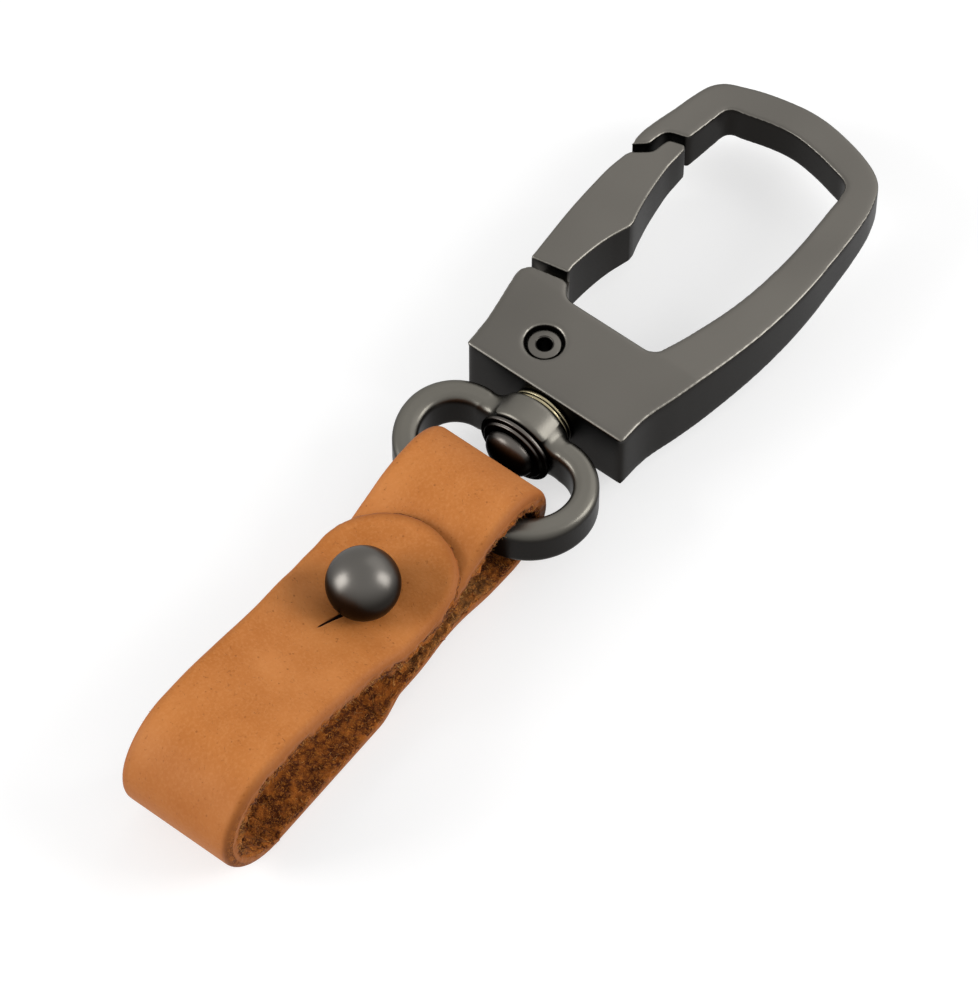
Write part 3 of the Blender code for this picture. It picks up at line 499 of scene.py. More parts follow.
def set_shade_and_wear(item: bpy.types.Object, lit_share: np.ndarray, rubbed: np.ndarray | None = None) -> None:
    """Writes each vertex's share between painted shade and lit tone, and how pale its edge is painted.

    Args:
        item: the piece.
        lit_share: from 0 for the painted shade of walls and undersides to 1 for the lit tone of faces.
        rubbed: from 0 to 1 where the edge is painted pale, as abraded plating and painted highlight, and nowhere if
            left out.
    """
    set_attribute(item.data, WearAndShade.PAINTED_LIGHT_BY_FACING, lit_share)
    set_attribute(item.data, WearAndShade.EDGE, np.zeros(len(lit_share)) if rubbed is None else rubbed)


def seated(item: bpy.types.Object, body: str, node: str) -> str:
    """Puts a rigid piece on its body in place of a CAD node.

    Args:
        item: the piece.
        body: the body that it rides.
        node: the CAD node that it stands in for.

    Returns:
        The piece's name.
    """
    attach(item, body)
    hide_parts(node)
    return item.name


def eased(share: np.ndarray | float) -> np.ndarray | float:
    """Rises smoothly from 0 to 1 while the share does, and stays there."""
    held = np.clip(share, 0.0, 1.0)
    return held * held * (3 - 2 * held)


def arc(centre: Pair, radius: float, start_deg: float, end_deg: float, steps: int) -> list[Pair]:
    """Points of an arc, ends included.

    Args:
        centre: its middle.
        radius: its radius.
        start_deg: the first point's angle.
        end_deg: the last point's angle.
        steps: how many chords.

    Returns:
        The points.
    """
    turns = [math.radians(start_deg + (end_deg - start_deg) * i / steps) for i in range(steps + 1)]
    return [(centre[0] + radius * math.cos(turn), centre[1] + radius * math.sin(turn)) for turn in turns]


def smooth_run(points: Sequence[Pair], steps: int = 8) -> list[Pair]:
    """A smooth curve through the points, ends included.

    Args:
        points: what it goes through.
        steps: how many chords between two points.

    Returns:
        The curve's points.
    """
    dots = [Vector(point) for point in points]
    dots = [2 * dots[0] - dots[1], *dots, 2 * dots[-1] - dots[-2]]
    run = []
    for before, start, end, after in zip(dots, dots[1:], dots[2:], dots[3:]):
        reach = (end - start).length
        lead = (start - before).length
        trail = (after - end).length
        leave = ((start - before) / lead * reach + (end - start) * lead / reach) / (lead + reach) * reach
        arrive = ((end - start) / reach * trail + (after - end) * reach / trail) / (reach + trail) * reach
        for i in range(steps):
            t = i / steps
            run.append(
                start * (2 * t**3 - 3 * t**2 + 1)
                + leave * (t**3 - 2 * t**2 + t)
                + end * (3 * t**2 - 2 * t**3)
                + arrive * (t**3 - t**2)
            )
    run.append(dots[-2])
    return [tuple(dot) for dot in run]


def offset_run(points: Sequence[Pair], distance: float) -> list[Pair]:
    """The open run moved sideways, to its left.

    Args:
        points: the run.
        distance: how far.

    Returns:
        The moved run.
    """
    dots = [Vector(point) for point in points]
    moved = []
    for i, dot in enumerate(dots):
        along = (dots[min(i + 1, len(dots) - 1)] - dots[max(i - 1, 0)]).normalized()
        moved.append(tuple(dot + Vector((-along.y, along.x)) * distance))
    return moved


def rounded(profile: Sequence[Triple], steps: int = 5) -> list[Pair]:
    """Rounds a polyline's corners.

    Args:
        profile: each corner as (radius, height, rounding), the rounding 0 for a sharp one.
        steps: how many chords a rounding has.

    Returns:
        The rounded polyline.
    """
    run: list[Pair] = []
    for i, (x, y, rounding) in enumerate(profile):
        if not rounding or i in (0, len(profile) - 1):
            run.append((x, y))
            continue
        corner = Vector((x, y))
        back = (Vector(profile[i - 1][:2]) - corner).normalized()
        ahead = (Vector(profile[i + 1][:2]) - corner).normalized()
        first = corner + back * rounding
        last = corner + ahead * rounding
        for k in range(steps + 1):
            t = k / steps
            run.append(tuple(first * (1 - t) ** 2 + corner * 2 * t * (1 - t) + last * t**2))
    return run


def lathed(profile: Sequence[Triple]) -> list[Pair]:
    """The rounded polyline of a profile whose corners are in millimetres."""
    return rounded([(radius * MM, height * MM, rounding * MM) for radius, height, rounding in profile])


def spun(profile: Sequence[Pair], place: Vector, along_y: bool = False, steps: int = 96) -> bmesh.types.BMesh:
    """Spins a profile into a closed turned body.

    Args:
        profile: (radius, height) pairs, from the axis to the axis or round a bore back to its start.
        place: the row frame's place of the profile's origin.
        along_y: the height runs to +Y, and not to +Z.
        steps: how many steps the turn has.

    Returns:
        The shape, in the row frame.
    """
    shape = bmesh.new()
    dots = [shape.verts.new((radius, 0.0, height)) for radius, height in profile]
    edges = [shape.edges.new(pair) for pair in zip(dots, dots[1:])]
    if profile[0][0] > 0:
        edges.append(shape.edges.new((dots[-1], dots[0])))
    bmesh.ops.spin(
        shape, geom=[*dots, *edges], axis=(0, 0, 1), cent=(0, 0, 0), angle=math.tau, steps=steps, use_merge=True
    )
    bmesh.ops.remove_doubles(shape, verts=shape.verts, dist=MICRON / 2)
    bmesh.ops.recalc_face_normals(shape, faces=shape.faces)
    if along_y:
        bmesh.ops.rotate(shape, verts=shape.verts, cent=(0, 0, 0), matrix=Matrix.Rotation(-math.pi / 2, 3, "X"))
    bmesh.ops.translate(shape, verts=shape.verts, vec=place)
    return shape


def merged_copy(node: str, reach: float = MICRON) -> bmesh.types.BMesh:
    """A copy of a CAD node's mesh with its loose triangles merged and its flat faces made whole.

    Args:
        node: the CAD node.
        reach: corners nearer to each other than this become one.

    Returns:
        The copy.
    """
    shape = bmesh.new()
    shape.from_mesh(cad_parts[node].data)
    for layer in list(shape.loops.layers.uv):
        shape.loops.layers.uv.remove(layer)
    bmesh.ops.remove_doubles(shape, verts=shape.verts, dist=reach)
    bmesh.ops.dissolve_degenerate(shape, edges=shape.edges, dist=reach)
    bmesh.ops.dissolve_limit(
        shape, angle_limit=math.radians(0.5), verts=shape.verts, edges=shape.edges, delimit=set()
    )
    return shape


def mark_sharp(shape: bmesh.types.BMesh) -> None:
    """Marks a shape's sharp edges, so that smooth shading stops there."""
    for edge in shape.edges:
        edge.smooth = not (edge.is_manifold and edge.calc_face_angle(0.0) > SHARP)


def weigh_normals(item: bpy.types.Object) -> None:
    """Lets the large faces set the shading, so that a bevel looks round and a face looks flat."""
    weights = item.modifiers.new("large faces first", "WEIGHTED_NORMAL")
    weights.keep_sharp = True


def combined(bases: Sequence[tuple[bmesh.types.BMesh, str]], grain: float = 0.0) -> bmesh.types.BMesh:
    """Joins shapes by booleans, and covers them with an even mesh if a grain is given.

    Args:
        bases: the first shape, then others with the boolean that joins each to it. They are freed.
        grain: size of the even mesh's faces.

    Returns:
        The joined shape.
    """
    items = []
    for shape, _ in bases:
        mesh = bpy.data.meshes.new("base")
        shape.to_mesh(mesh)
        shape.free()
        items.append(bpy.data.objects.new("base", mesh))
        bpy.context.scene.collection.objects.link(items[-1])
    first = items[0]
    for other, (_, operation) in zip(items[1:], bases[1:]):
        cut = first.modifiers.new(operation.lower(), "BOOLEAN")
        cut.operation = operation
        cut.object = other
        cut.solver = "EXACT"
    if grain:
        remesh = first.modifiers.new("even faces", "REMESH")
        remesh.mode = "VOXEL"
        remesh.voxel_size = grain
    bpy.context.view_layer.update()
    graph = bpy.context.evaluated_depsgraph_get()
    joined = bmesh.new()
    joined.from_mesh(bpy.data.meshes.new_from_object(first.evaluated_get(graph)))
    for item in items:
        bpy.data.objects.remove(item, do_unlink=True)
    return joined


def melt(shape: bmesh.types.BMesh, verts: Sequence[bmesh.types.BMVert], times: int, up: bool = True) -> None:
    """Smooths vertices a number of times, up and down too or only across, as tumbling rounds a casting."""
    for _ in range(times):
        bmesh.ops.smooth_vert(shape, verts=verts, factor=0.5, use_axis_x=True, use_axis_y=True, use_axis_z=up)


@dataclass
class HookCastings:
    """The hook's frame and its gate: die-cast zinc, plated, in a lit tone on the faces and painted shade on the walls,
    with the edges painted pale as abraded plating and painted highlight.
    """

    finish: PlatedMetal
    base_half: float = 4.25 * MM
    bow_half: float = 2.2 * MM
    taper_start: float = 11.0 * MM
    length: float = 47.4 * MM
    grain: float = 0.182 * MM
    melts: int = 6
    wall_melts: int = 24
    # Tilts are sizes of the normal's Z: from where to where a face goes over from painted shade to the lit tone, where
    # the rims are painted pale and how far to both sides of it, up to where a face counts among the walls, from where
    # it is flat, and the gate's bevels.
    face_tilt: Pair = (0.45, 0.95)
    pale_edge_tilt: Pair = (0.7, 0.25)
    wall_tilt: float = 0.25
    flat_tilt: float = 0.98
    bevel_tilt: Pair = (0.2, 0.97)

    def build(self) -> list[str]:
        """Dresses the frame and the gate and returns their names."""
        material = self.finish.material()
        return [self.build_frame(material), self.build_gate(material)]

    def build_frame(self, material: bpy.types.Material) -> str:
        """Covers the frame with an even mesh, melts its rims and fairs its walls.

        The walls are faired so that the short straight runs of the CAD outline don't show in them.

        Args:
            material: its finish.

        Returns:
            Its name.
        """
        level = merged_copy("hook_frame")
        self.scale_wedge(level, False)
        shape = combined([(level, "")], self.grain)
        melt(shape, shape.verts, self.melts)
        shape.normal_update()
        walls = [vert for vert in shape.verts if abs(vert.normal.z) < self.wall_tilt]
        melt(shape, walls, self.wall_melts, up=False)
        self.scale_wedge(shape, True)
        shape.normal_update()
        # Painted shade: faces that look up or down get the lit tone and the walls the darker tone; the rims between are
        # painted pale, partly as highlight.
        tilt = np.array([abs(vert.normal.z) for vert in shape.verts])
        lit_share = eased((tilt - self.face_tilt[0]) / (self.face_tilt[1] - self.face_tilt[0]))
        rubbed = 1 - np.clip(np.abs(tilt - self.pale_edge_tilt[0]) / self.pale_edge_tilt[1], 0.0, 1.0)
        item = finished("hook_frame_casting", shape, material)
        set_shade_and_wear(item, lit_share, rubbed)
        return seated(item, "hook", "hook_frame")

    def build_gate(self, material: bpy.types.Material) -> str:
        """Dresses a copy of the gate, its flat faces in the lit tone and the rest in painted shade, and painted pale in
        the middle of its bevels, where every face tilts, partly as abraded plating and partly as painted highlight.

        Args:
            material: its finish.

        Returns:
            Its name.
        """
        shape = merged_copy("gate")
        mark_sharp(shape)
        shape.normal_update()
        tilts = [[abs(face.normal.z) for face in vert.link_faces] for vert in shape.verts]
        least, most = self.bevel_tilt
        # Painted shade on all but the flat faces, and a pale edge, partly painted highlight, in the middle of the
        # bevels.
        lit_share = np.array([max(tilt) > self.flat_tilt for tilt in tilts], dtype=float)
        rubbed = np.array([min(tilt) > least and max(tilt) < most for tilt in tilts], dtype=float)
        item = finished("gate_casting", shape, material)
        set_shade_and_wear(item, lit_share, rubbed)
        weigh_normals(item)
        return seated(item, "gate", "gate")

    def scale_wedge(self, shape: bmesh.types.BMesh, thinned: bool) -> None:
        """Takes the frame between its real wedge and a plate of even thickness, whose rims remesh cleanly.

        Args:
            shape: the frame.
            thinned: True to give the plate its wedge back, and False to level the wedge.
        """
        for vert in shape.verts:
            share = min(max((vert.co.y - AXIS.y - self.taper_start) / (self.length - self.taper_start), 0.0), 1.0)
            thin = 1 + (self.bow_half / self.base_half - 1) * share
            height = vert.co.z - AXIS.z
            vert.co.z = AXIS.z + (height * thin if thinned else height / thin)


@dataclass
class GateSpring:
    """The hidden coil that holds the gate shut: drawn wire, wound between its seat and the gate's heel."""

    finish: PlatedMetal
    wire: float = 0.3 * MM
    radius: float = 1.0 * MM
    turns: int = 3
    steps: int = 24
    wire_sides: int = 8
    seat_y: float = 4.27 * MM
    heel_y: float = 7.23 * MM
    pressed: float = 0.24

    def build(self) -> list[str]:
        """Winds the coil from a circle of wire that is spun along the axis.

        Returns:
            The piece's name.
        """
        shape = bmesh.new()
        start = Matrix.Translation(AXIS + Vector((self.radius, self.seat_y, 0.0)))
        bmesh.ops.create_circle(shape, segments=self.wire_sides, radius=self.wire / 2, matrix=start)
        count = self.steps * self.turns
        bmesh.ops.spin(
            shape, geom=[*shape.verts, *shape.edges], cent=AXIS, axis=(0.0, -1.0, 0.0),
            dvec=(0.0, (self.heel_y - self.seat_y) / count, 0.0), angle=math.tau * self.turns, steps=count,
        )
        bmesh.ops.holes_fill(shape, edges=[edge for edge in shape.edges if edge.is_boundary])
        bmesh.ops.recalc_face_normals(shape, faces=shape.faces)
        mark_sharp(shape)
        item = finished("gate_spring_coil", shape, self.finish.material())
        set_shade_and_wear(item, np.ones(len(item.data.vertices)))
        name = seated(item, "hook", "gate_spring")
        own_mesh(item)
        return [name]


@dataclass
class TurnedPieces:
    """Rivet, swivel pin, washers, ball stud and its screw, all turned on a lathe.

    A profile is a row of corners, each as (radius, height, rounding) in millimetres from the piece's origin.
    """

    gunmetal: PlatedMetal
    dark: PlatedMetal
    nickel: PlatedMetal
    stud_metal: PlatedMetal
    pivot: Vector = field(default_factory=lambda: AXIS + Vector((-3.95, 5.1, 0.0)) * MM)
    stud: Vector = field(default_factory=lambda: AXIS + Vector((0.4, -31.0, 0.0)) * MM)
    # From which upward tilt, and over how much more, a turned piece goes over from painted shade to its lit tone.
    lit_start: float = 0.25
    lit_span: float = 0.6
    # The tubular rivet's upper half, from its bore over the rolled rim and down its outside.
    rivet_half: tuple[Triple, ...] = (
        (0.85, 0.0, 0.0), (0.85, 3.7, 0.2), (1.0, 3.8, 0.1), (1.85, 3.7, 0.22), (1.85, 3.28, 0.1),
        (1.35, 3.28, 0.0), (1.35, 0.0, 0.0),
    )
    # The swivel pin's peened end, its shank and the underside of its head.
    pin_shank: tuple[Triple, ...] = (
        (0.0, 4.0, 0.0), (1.2, 4.0, 0.0), (1.7, 3.65, 0.0), (1.7, 3.3, 0.0), (1.3, 3.3, 0.0), (1.3, -5.8, 0.0),
        (2.95, -5.8, 0.0),
    )
    pin_head_radius: float = 2.95 * MM
    pin_dome_foot: float = -6.0 * MM
    pin_dome_rise: float = 1.5 * MM
    pin_dome_fullness: float = 0.85
    pin_dome_steps: int = 15
    # The bright collar against the hook's base: two thin washers that touch.
    collar_rim: tuple[Triple, ...] = (
        (1.4, -0.1, 0.0), (3.75, -0.1, 0.2), (3.75, -0.5, 0.15), (3.5, -0.55, 0.0), (3.75, -0.6, 0.15),
        (3.75, -1.0, 0.2), (1.4, -1.0, 0.0),
    )
    # The dark stepped washer under the pin's head.
    washer_rim: tuple[Triple, ...] = (
        (1.4, -4.9, 0.0), (4.4, -4.9, 0.2), (4.4, -5.35, 0.2), (3.8, -5.42, 0.08), (3.7, -5.7, 0.16),
        (1.4, -5.7, 0.0),
    )
    ball_radius: float = 3.9 * MM
    ball_centre: float = 7.1 * MM
    ball_over_leather: float = 3.45 * MM
    ball_neck_turn: float = math.radians(2.0)
    ball_steps: int = 47
    neck_radius: float = 1.9 * MM
    # The stud's neck below the ball, its flange and the bore for the screw.
    stud_foot: tuple[Triple, ...] = (
        (1.9, 1.25, 0.0), (3.2, 1.25, 0.0), (3.2, 0.65, 0.0), (1.2, 0.65, 0.0), (1.2, 2.15, 0.0), (0.0, 2.15, 0.0),
    )
    # The screw's shank and flat head, and the slot that is cut into the head's face.
    screw_side: tuple[Triple, ...] = (
        (0.0, 2.05, 0.0), (1.1, 2.05, 0.0), (1.1, -4.05, 0.0), (2.9, -4.05, 0.1), (2.9, -4.95, 0.35),
        (0.0, -4.95, 0.0),
    )
    slot_size: Triple = (7.0 * MM, 0.8 * MM, 0.8 * MM)
    slot_middle: float = -4.95 * MM

    def build(self) -> list[str]:
        """Makes every turned piece.

        Returns:
            Their names.
        """
        gunmetal, dark = self.gunmetal.material(), self.dark.material()
        nickel, stud = self.nickel.material(), self.stud_metal.material()
        rivet = spun(self.rivet(), self.pivot)
        pin = spun(self.pin(), AXIS, along_y=True)
        collar = spun(lathed(self.collar_rim), AXIS, along_y=True)
        washer = spun(lathed(self.washer_rim), AXIS, along_y=True)
        ball = spun(self.ball(), self.stud)
        return [
            self.piece("turned_rivet", rivet, gunmetal, "hook", "gate_rivet"),
            self.piece("turned_pin", pin, dark, "hook", "swivel_pin"),
            self.piece("turned_collar", collar, nickel, "hook", "collar_washer"),
            self.piece("turned_washer", washer, dark, "hook", "head_washer"),
            self.piece("turned_ball", ball, stud, "strap", "ball_stud"),
            self.piece("turned_screw", self.screw(), stud, "strap", "stud_screw"),
        ]

    def piece(
        self, name: str, shape: bmesh.types.BMesh, material: bpy.types.Material, body: str, node: str
    ) -> str:
        """Finishes one turned piece, in its lit tone where it faces up and in painted shade where it faces sideways and
        down.

        Args:
            name: its name.
            shape: its shape, in the row frame.
            material: its finish.
            body: the body that it rides.
            node: the CAD node that it stands in for.

        Returns:
            Its name.
        """
        mark_sharp(shape)
        item = finished(name, shape, material)
        upward = np.array([vert.normal.z for vert in item.data.vertices])
        # Painted shade: darker where the piece faces sideways and down, its lit tone where it faces up.
        set_shade_and_wear(item, eased((upward - self.lit_start) / self.lit_span))
        return seated(item, body, node)

    def rivet(self) -> list[Pair]:
        """The tubular rivet's profile, its rims rolled over."""
        half = lathed(self.rivet_half)[1:-1]
        return [*half, *[(radius, -height) for radius, height in reversed(half)]]

    def pin(self) -> list[Pair]:
        """The swivel pin's profile: peened end, shank and domed head.

        Returns:
            The profile from the axis to the axis.
        """
        turns = [math.pi / 2 * i / self.pin_dome_steps for i in range(self.pin_dome_steps)]
        dome = [
            (
                self.pin_head_radius * math.cos(turn) ** self.pin_dome_fullness,
                self.pin_dome_foot - self.pin_dome_rise * math.sin(turn),
            )
            for turn in turns
        ]
        return [*lathed(self.pin_shank), *dome, (0.0, self.pin_dome_foot - self.pin_dome_rise)]

    def ball(self) -> list[Pair]:
        """The ball stud's profile: ball, neck, flange and bore.

        Returns:
            The profile from the axis to the axis.
        """
        top = math.pi / 2
        foot = self.ball_neck_turn - math.asin(self.ball_over_leather / self.ball_radius)
        turns = [top + (foot - top) * i / self.ball_steps for i in range(1, self.ball_steps + 1)]
        head = [
            (self.ball_radius * math.cos(turn), self.ball_centre + self.ball_radius * math.sin(turn)) for turn in turns
        ]
        crown = (0.0, self.ball_centre + self.ball_radius)
        return [crown, *head, (self.neck_radius, head[-1][1]), *lathed(self.stud_foot)]

    def screw(self) -> bmesh.types.BMesh:
        """The stud's screw, seen only from behind, with the slot cut out of its head.

        Returns:
            The shape, in the row frame.
        """
        slot = bmesh.new()
        bmesh.ops.create_cube(slot, size=1.0)
        bmesh.ops.scale(slot, verts=slot.verts, vec=self.slot_size)
        bmesh.ops.translate(slot, verts=slot.verts, vec=self.stud + Vector((0.0, 0.0, self.slot_middle)))
        return combined([(spun(lathed(self.screw_side), self.stud), ""), (slot, "DIFFERENCE")])


@dataclass
class SwivelRing:
    """The cast ring: an oval bar with its corners rounded off, flowing into the boss that turns on the pin."""

    finish: PlatedMetal
    width: float = 23.6 * MM
    bar: float = 2.8 * MM
    thickness: float = 5.2 * MM
    shoulder_gap: float = 1.9 * MM
    shoulder: float = 6.35 * MM
    foot: float = 7.6 * MM
    edge: float = 0.9 * MM
    boss_radius: float = 4.6 * MM
    boss_near: float = -1.2 * MM
    boss_far: float = -4.7 * MM
    boss_edge: float = 0.6 * MM
    bore: float = 1.5 * MM
    grain: float = 0.15 * MM
    melts: int = 3
    joint_melts: int = 60
    flow: float = 1.1 * MM
    flow_share: float = 0.6
    # How fast the ring's lit tone fades to painted shade as its surface turns upright.
    lit_fall: float = 1.4
    arc_steps: int = 24
    edge_steps: int = 5

    def outline(self, inset: float) -> list[Pair]:
        """The ring's outline.

        Args:
            inset: how far it is moved in.

        Returns:
            The closed outline about the swivel's axis.
        """
        middle = -(self.shoulder_gap + self.shoulder)
        half = self.width / 2
        across = half - self.shoulder
        low = half - self.foot
        return [
            *arc((low, middle), self.foot - inset, -90.0, 0.0, self.arc_steps),
            *arc((across, middle), self.shoulder - inset, 0.0, 90.0, self.arc_steps)[1:],
            *arc((-across, middle), self.shoulder - inset, 90.0, 180.0, self.arc_steps),
            *arc((-low, middle), self.foot - inset, 180.0, 270.0, self.arc_steps)[1:],
        ]

    def bar_shape(self) -> bmesh.types.BMesh:
        """The oval bar: an annulus bridged from two outlines, extruded and bevelled.

        Returns:
            The shape, in the row frame.
        """
        shape = bmesh.new()
        loops = []
        for inset in (0.0, self.bar):
            dots = [shape.verts.new((x, y, -self.thickness / 2)) for x, y in self.outline(inset)]
            loops += [shape.edges.new((dots[i - 1], dots[i])) for i in range(len(dots))]
        bmesh.ops.bridge_loops(shape, edges=loops)
        made = bmesh.ops.extrude_face_region(shape, geom=shape.faces[:], use_keep_orig=True)
        lifted = [part for part in made["geom"] if isinstance(part, bmesh.types.BMVert)]
        bmesh.ops.translate(shape, verts=lifted, vec=(0.0, 0.0, self.thickness))
        bmesh.ops.recalc_face_normals(shape, faces=shape.faces)
        rims = [edge for edge in shape.edges if edge.is_manifold and edge.calc_face_angle(0.0) > SHARP]
        bmesh.ops.bevel(
            shape, geom=rims, offset=self.edge, segments=self.edge_steps, profile=0.5, affect="EDGES", material=-1
        )
        bmesh.ops.translate(shape, verts=shape.verts, vec=AXIS)
        return shape

    def build(self) -> list[str]:
        """Joins bar and boss, drills the bore and melts the joint between them.

        Returns:
            The piece's name.
        """
        corners = [
            (0.0, self.boss_near, 0.0), (self.boss_radius, self.boss_near, self.boss_edge),
            (self.boss_radius, self.boss_far, self.boss_edge), (0.0, self.boss_far, 0.0),
        ]
        deep = 2 * self.boss_far
        hole = [(0.0, 0.0), (self.bore, 0.0), (self.bore, deep), (0.0, deep)]
        boss = spun(rounded(corners), AXIS, along_y=True)
        drill = spun(hole, AXIS, along_y=True)
        shape = combined([(self.bar_shape(), ""), (boss, "UNION"), (drill, "DIFFERENCE")], self.grain)
        melt(shape, shape.verts, self.melts)
        melt(shape, [vert for vert in shape.verts if self.near_joint(vert.co)], self.joint_melts)
        shape.normal_update()
        # Painted shade: the lit tone where the ring faces up or down, fading to the darker painted tone on its sides.
        upright = np.array([abs(vert.normal.z) ** self.lit_fall for vert in shape.verts])
        item = finished("cast_swivel_ring", shape, self.finish.material())
        set_shade_and_wear(item, upright)
        return [seated(item, "ring", "swivel_ring")]

    def near_joint(self, place: Vector) -> bool:
        """Finds the bar's surface just off the boss.

        Args:
            place: a point in the row frame.

        Returns:
            True for a point there.
        """
        point = place - AXIS
        reach = self.flow * self.flow_share
        off_boss = abs(math.hypot(point.x, point.z) - self.boss_radius) < self.flow
        beside_boss = self.boss_far - reach < point.y < self.boss_near + reach
        return off_boss and beside_boss and abs(point.z) < self.thickness / 2 + reach


@dataclass
class FoldLine:
    """A side view that the flat strip is laid along, read by the length gone along it."""

    path: Sequence[Pair]

    def __post_init__(self) -> None:
        """Measures the path and its headings, and leaves out points that repeat."""
        dots = np.array(self.path)
        steps = np.diff(dots, axis=0)
        keep = np.hypot(steps[:, 0], steps[:, 1]) > MICRON / 10
        self.dots = np.vstack([dots[:1], dots[1:][keep]])
        steps = np.diff(self.dots, axis=0)
        lengths = np.hypot(steps[:, 0], steps[:, 1])
        self.gone = np.concatenate([[0.0], np.cumsum(lengths)])
        self.length = float(self.gone[-1])
        self.middles = (self.gone[:-1] + self.gone[1:]) / 2
        self.headings = np.unwrap(np.arctan2(steps[:, 1], steps[:, 0]))

    def place(self, gone: np.ndarray) -> tuple[np.ndarray, np.ndarray]:
        """Where the strip's middle is, and which way its grain side faces.

        Args:
            gone: lengths along the path.

        Returns:
            The (y, z) places and the (y, z) directions of the grain side.
        """
        y = np.interp(gone, self.gone, self.dots[:, 0])
        z = np.interp(gone, self.gone, self.dots[:, 1])
        heading = np.interp(gone, self.middles, self.headings)
        return np.column_stack([y, z]), np.column_stack([-np.sin(heading), np.cos(heading)])

    def gone_at(self, y: float, rising: bool) -> float:
        """The length gone where the path passes a given Y.

        Args:
            y: that Y.
            rising: whether the path goes towards +Y there.

        Returns:
            The length, where it first does so.
        """
        steps = np.diff(self.dots[:, 0])
        for i, step in enumerate(steps):
            first, last = self.dots[i, 0], self.dots[i + 1, 0]
            if (step > 0) == rising and min(first, last) <= y <= max(first, last) and step:
                return float(self.gone[i] + (self.gone[i + 1] - self.gone[i]) * (y - first) / step)
        raise ValueError(f"the path never passes {y}")


@dataclass(frozen=True)
class Relief:
    """One scale of the raw leather's relief: the size of its lumps and its share of the whole depth."""

    size: float
    share: float


@dataclass(frozen=True)
class Fibres:
    """Loose fibres of one kind: how many, how long, how thick, and what share of them stands on the cut edge.

    The others stand on the flesh side, up to the reach from its rim. The tone picks their colour, the root is how
    deep they start, and the bend is how far their tips stray, as a share of their length. Those on the cut edge
    keep to the flesh's half: the edge height is how far up they may stand, as a share of the leather's thickness.
    """

    count: int
    length: Pair
    radius: Pair
    edge_share: float
    reach: float = 3.6 * MM
    root: float = 0.12 * MM
    tone: Pair = (1.0, 1.9)
    bend: float = 0.6
    edge_height: float = 0.42


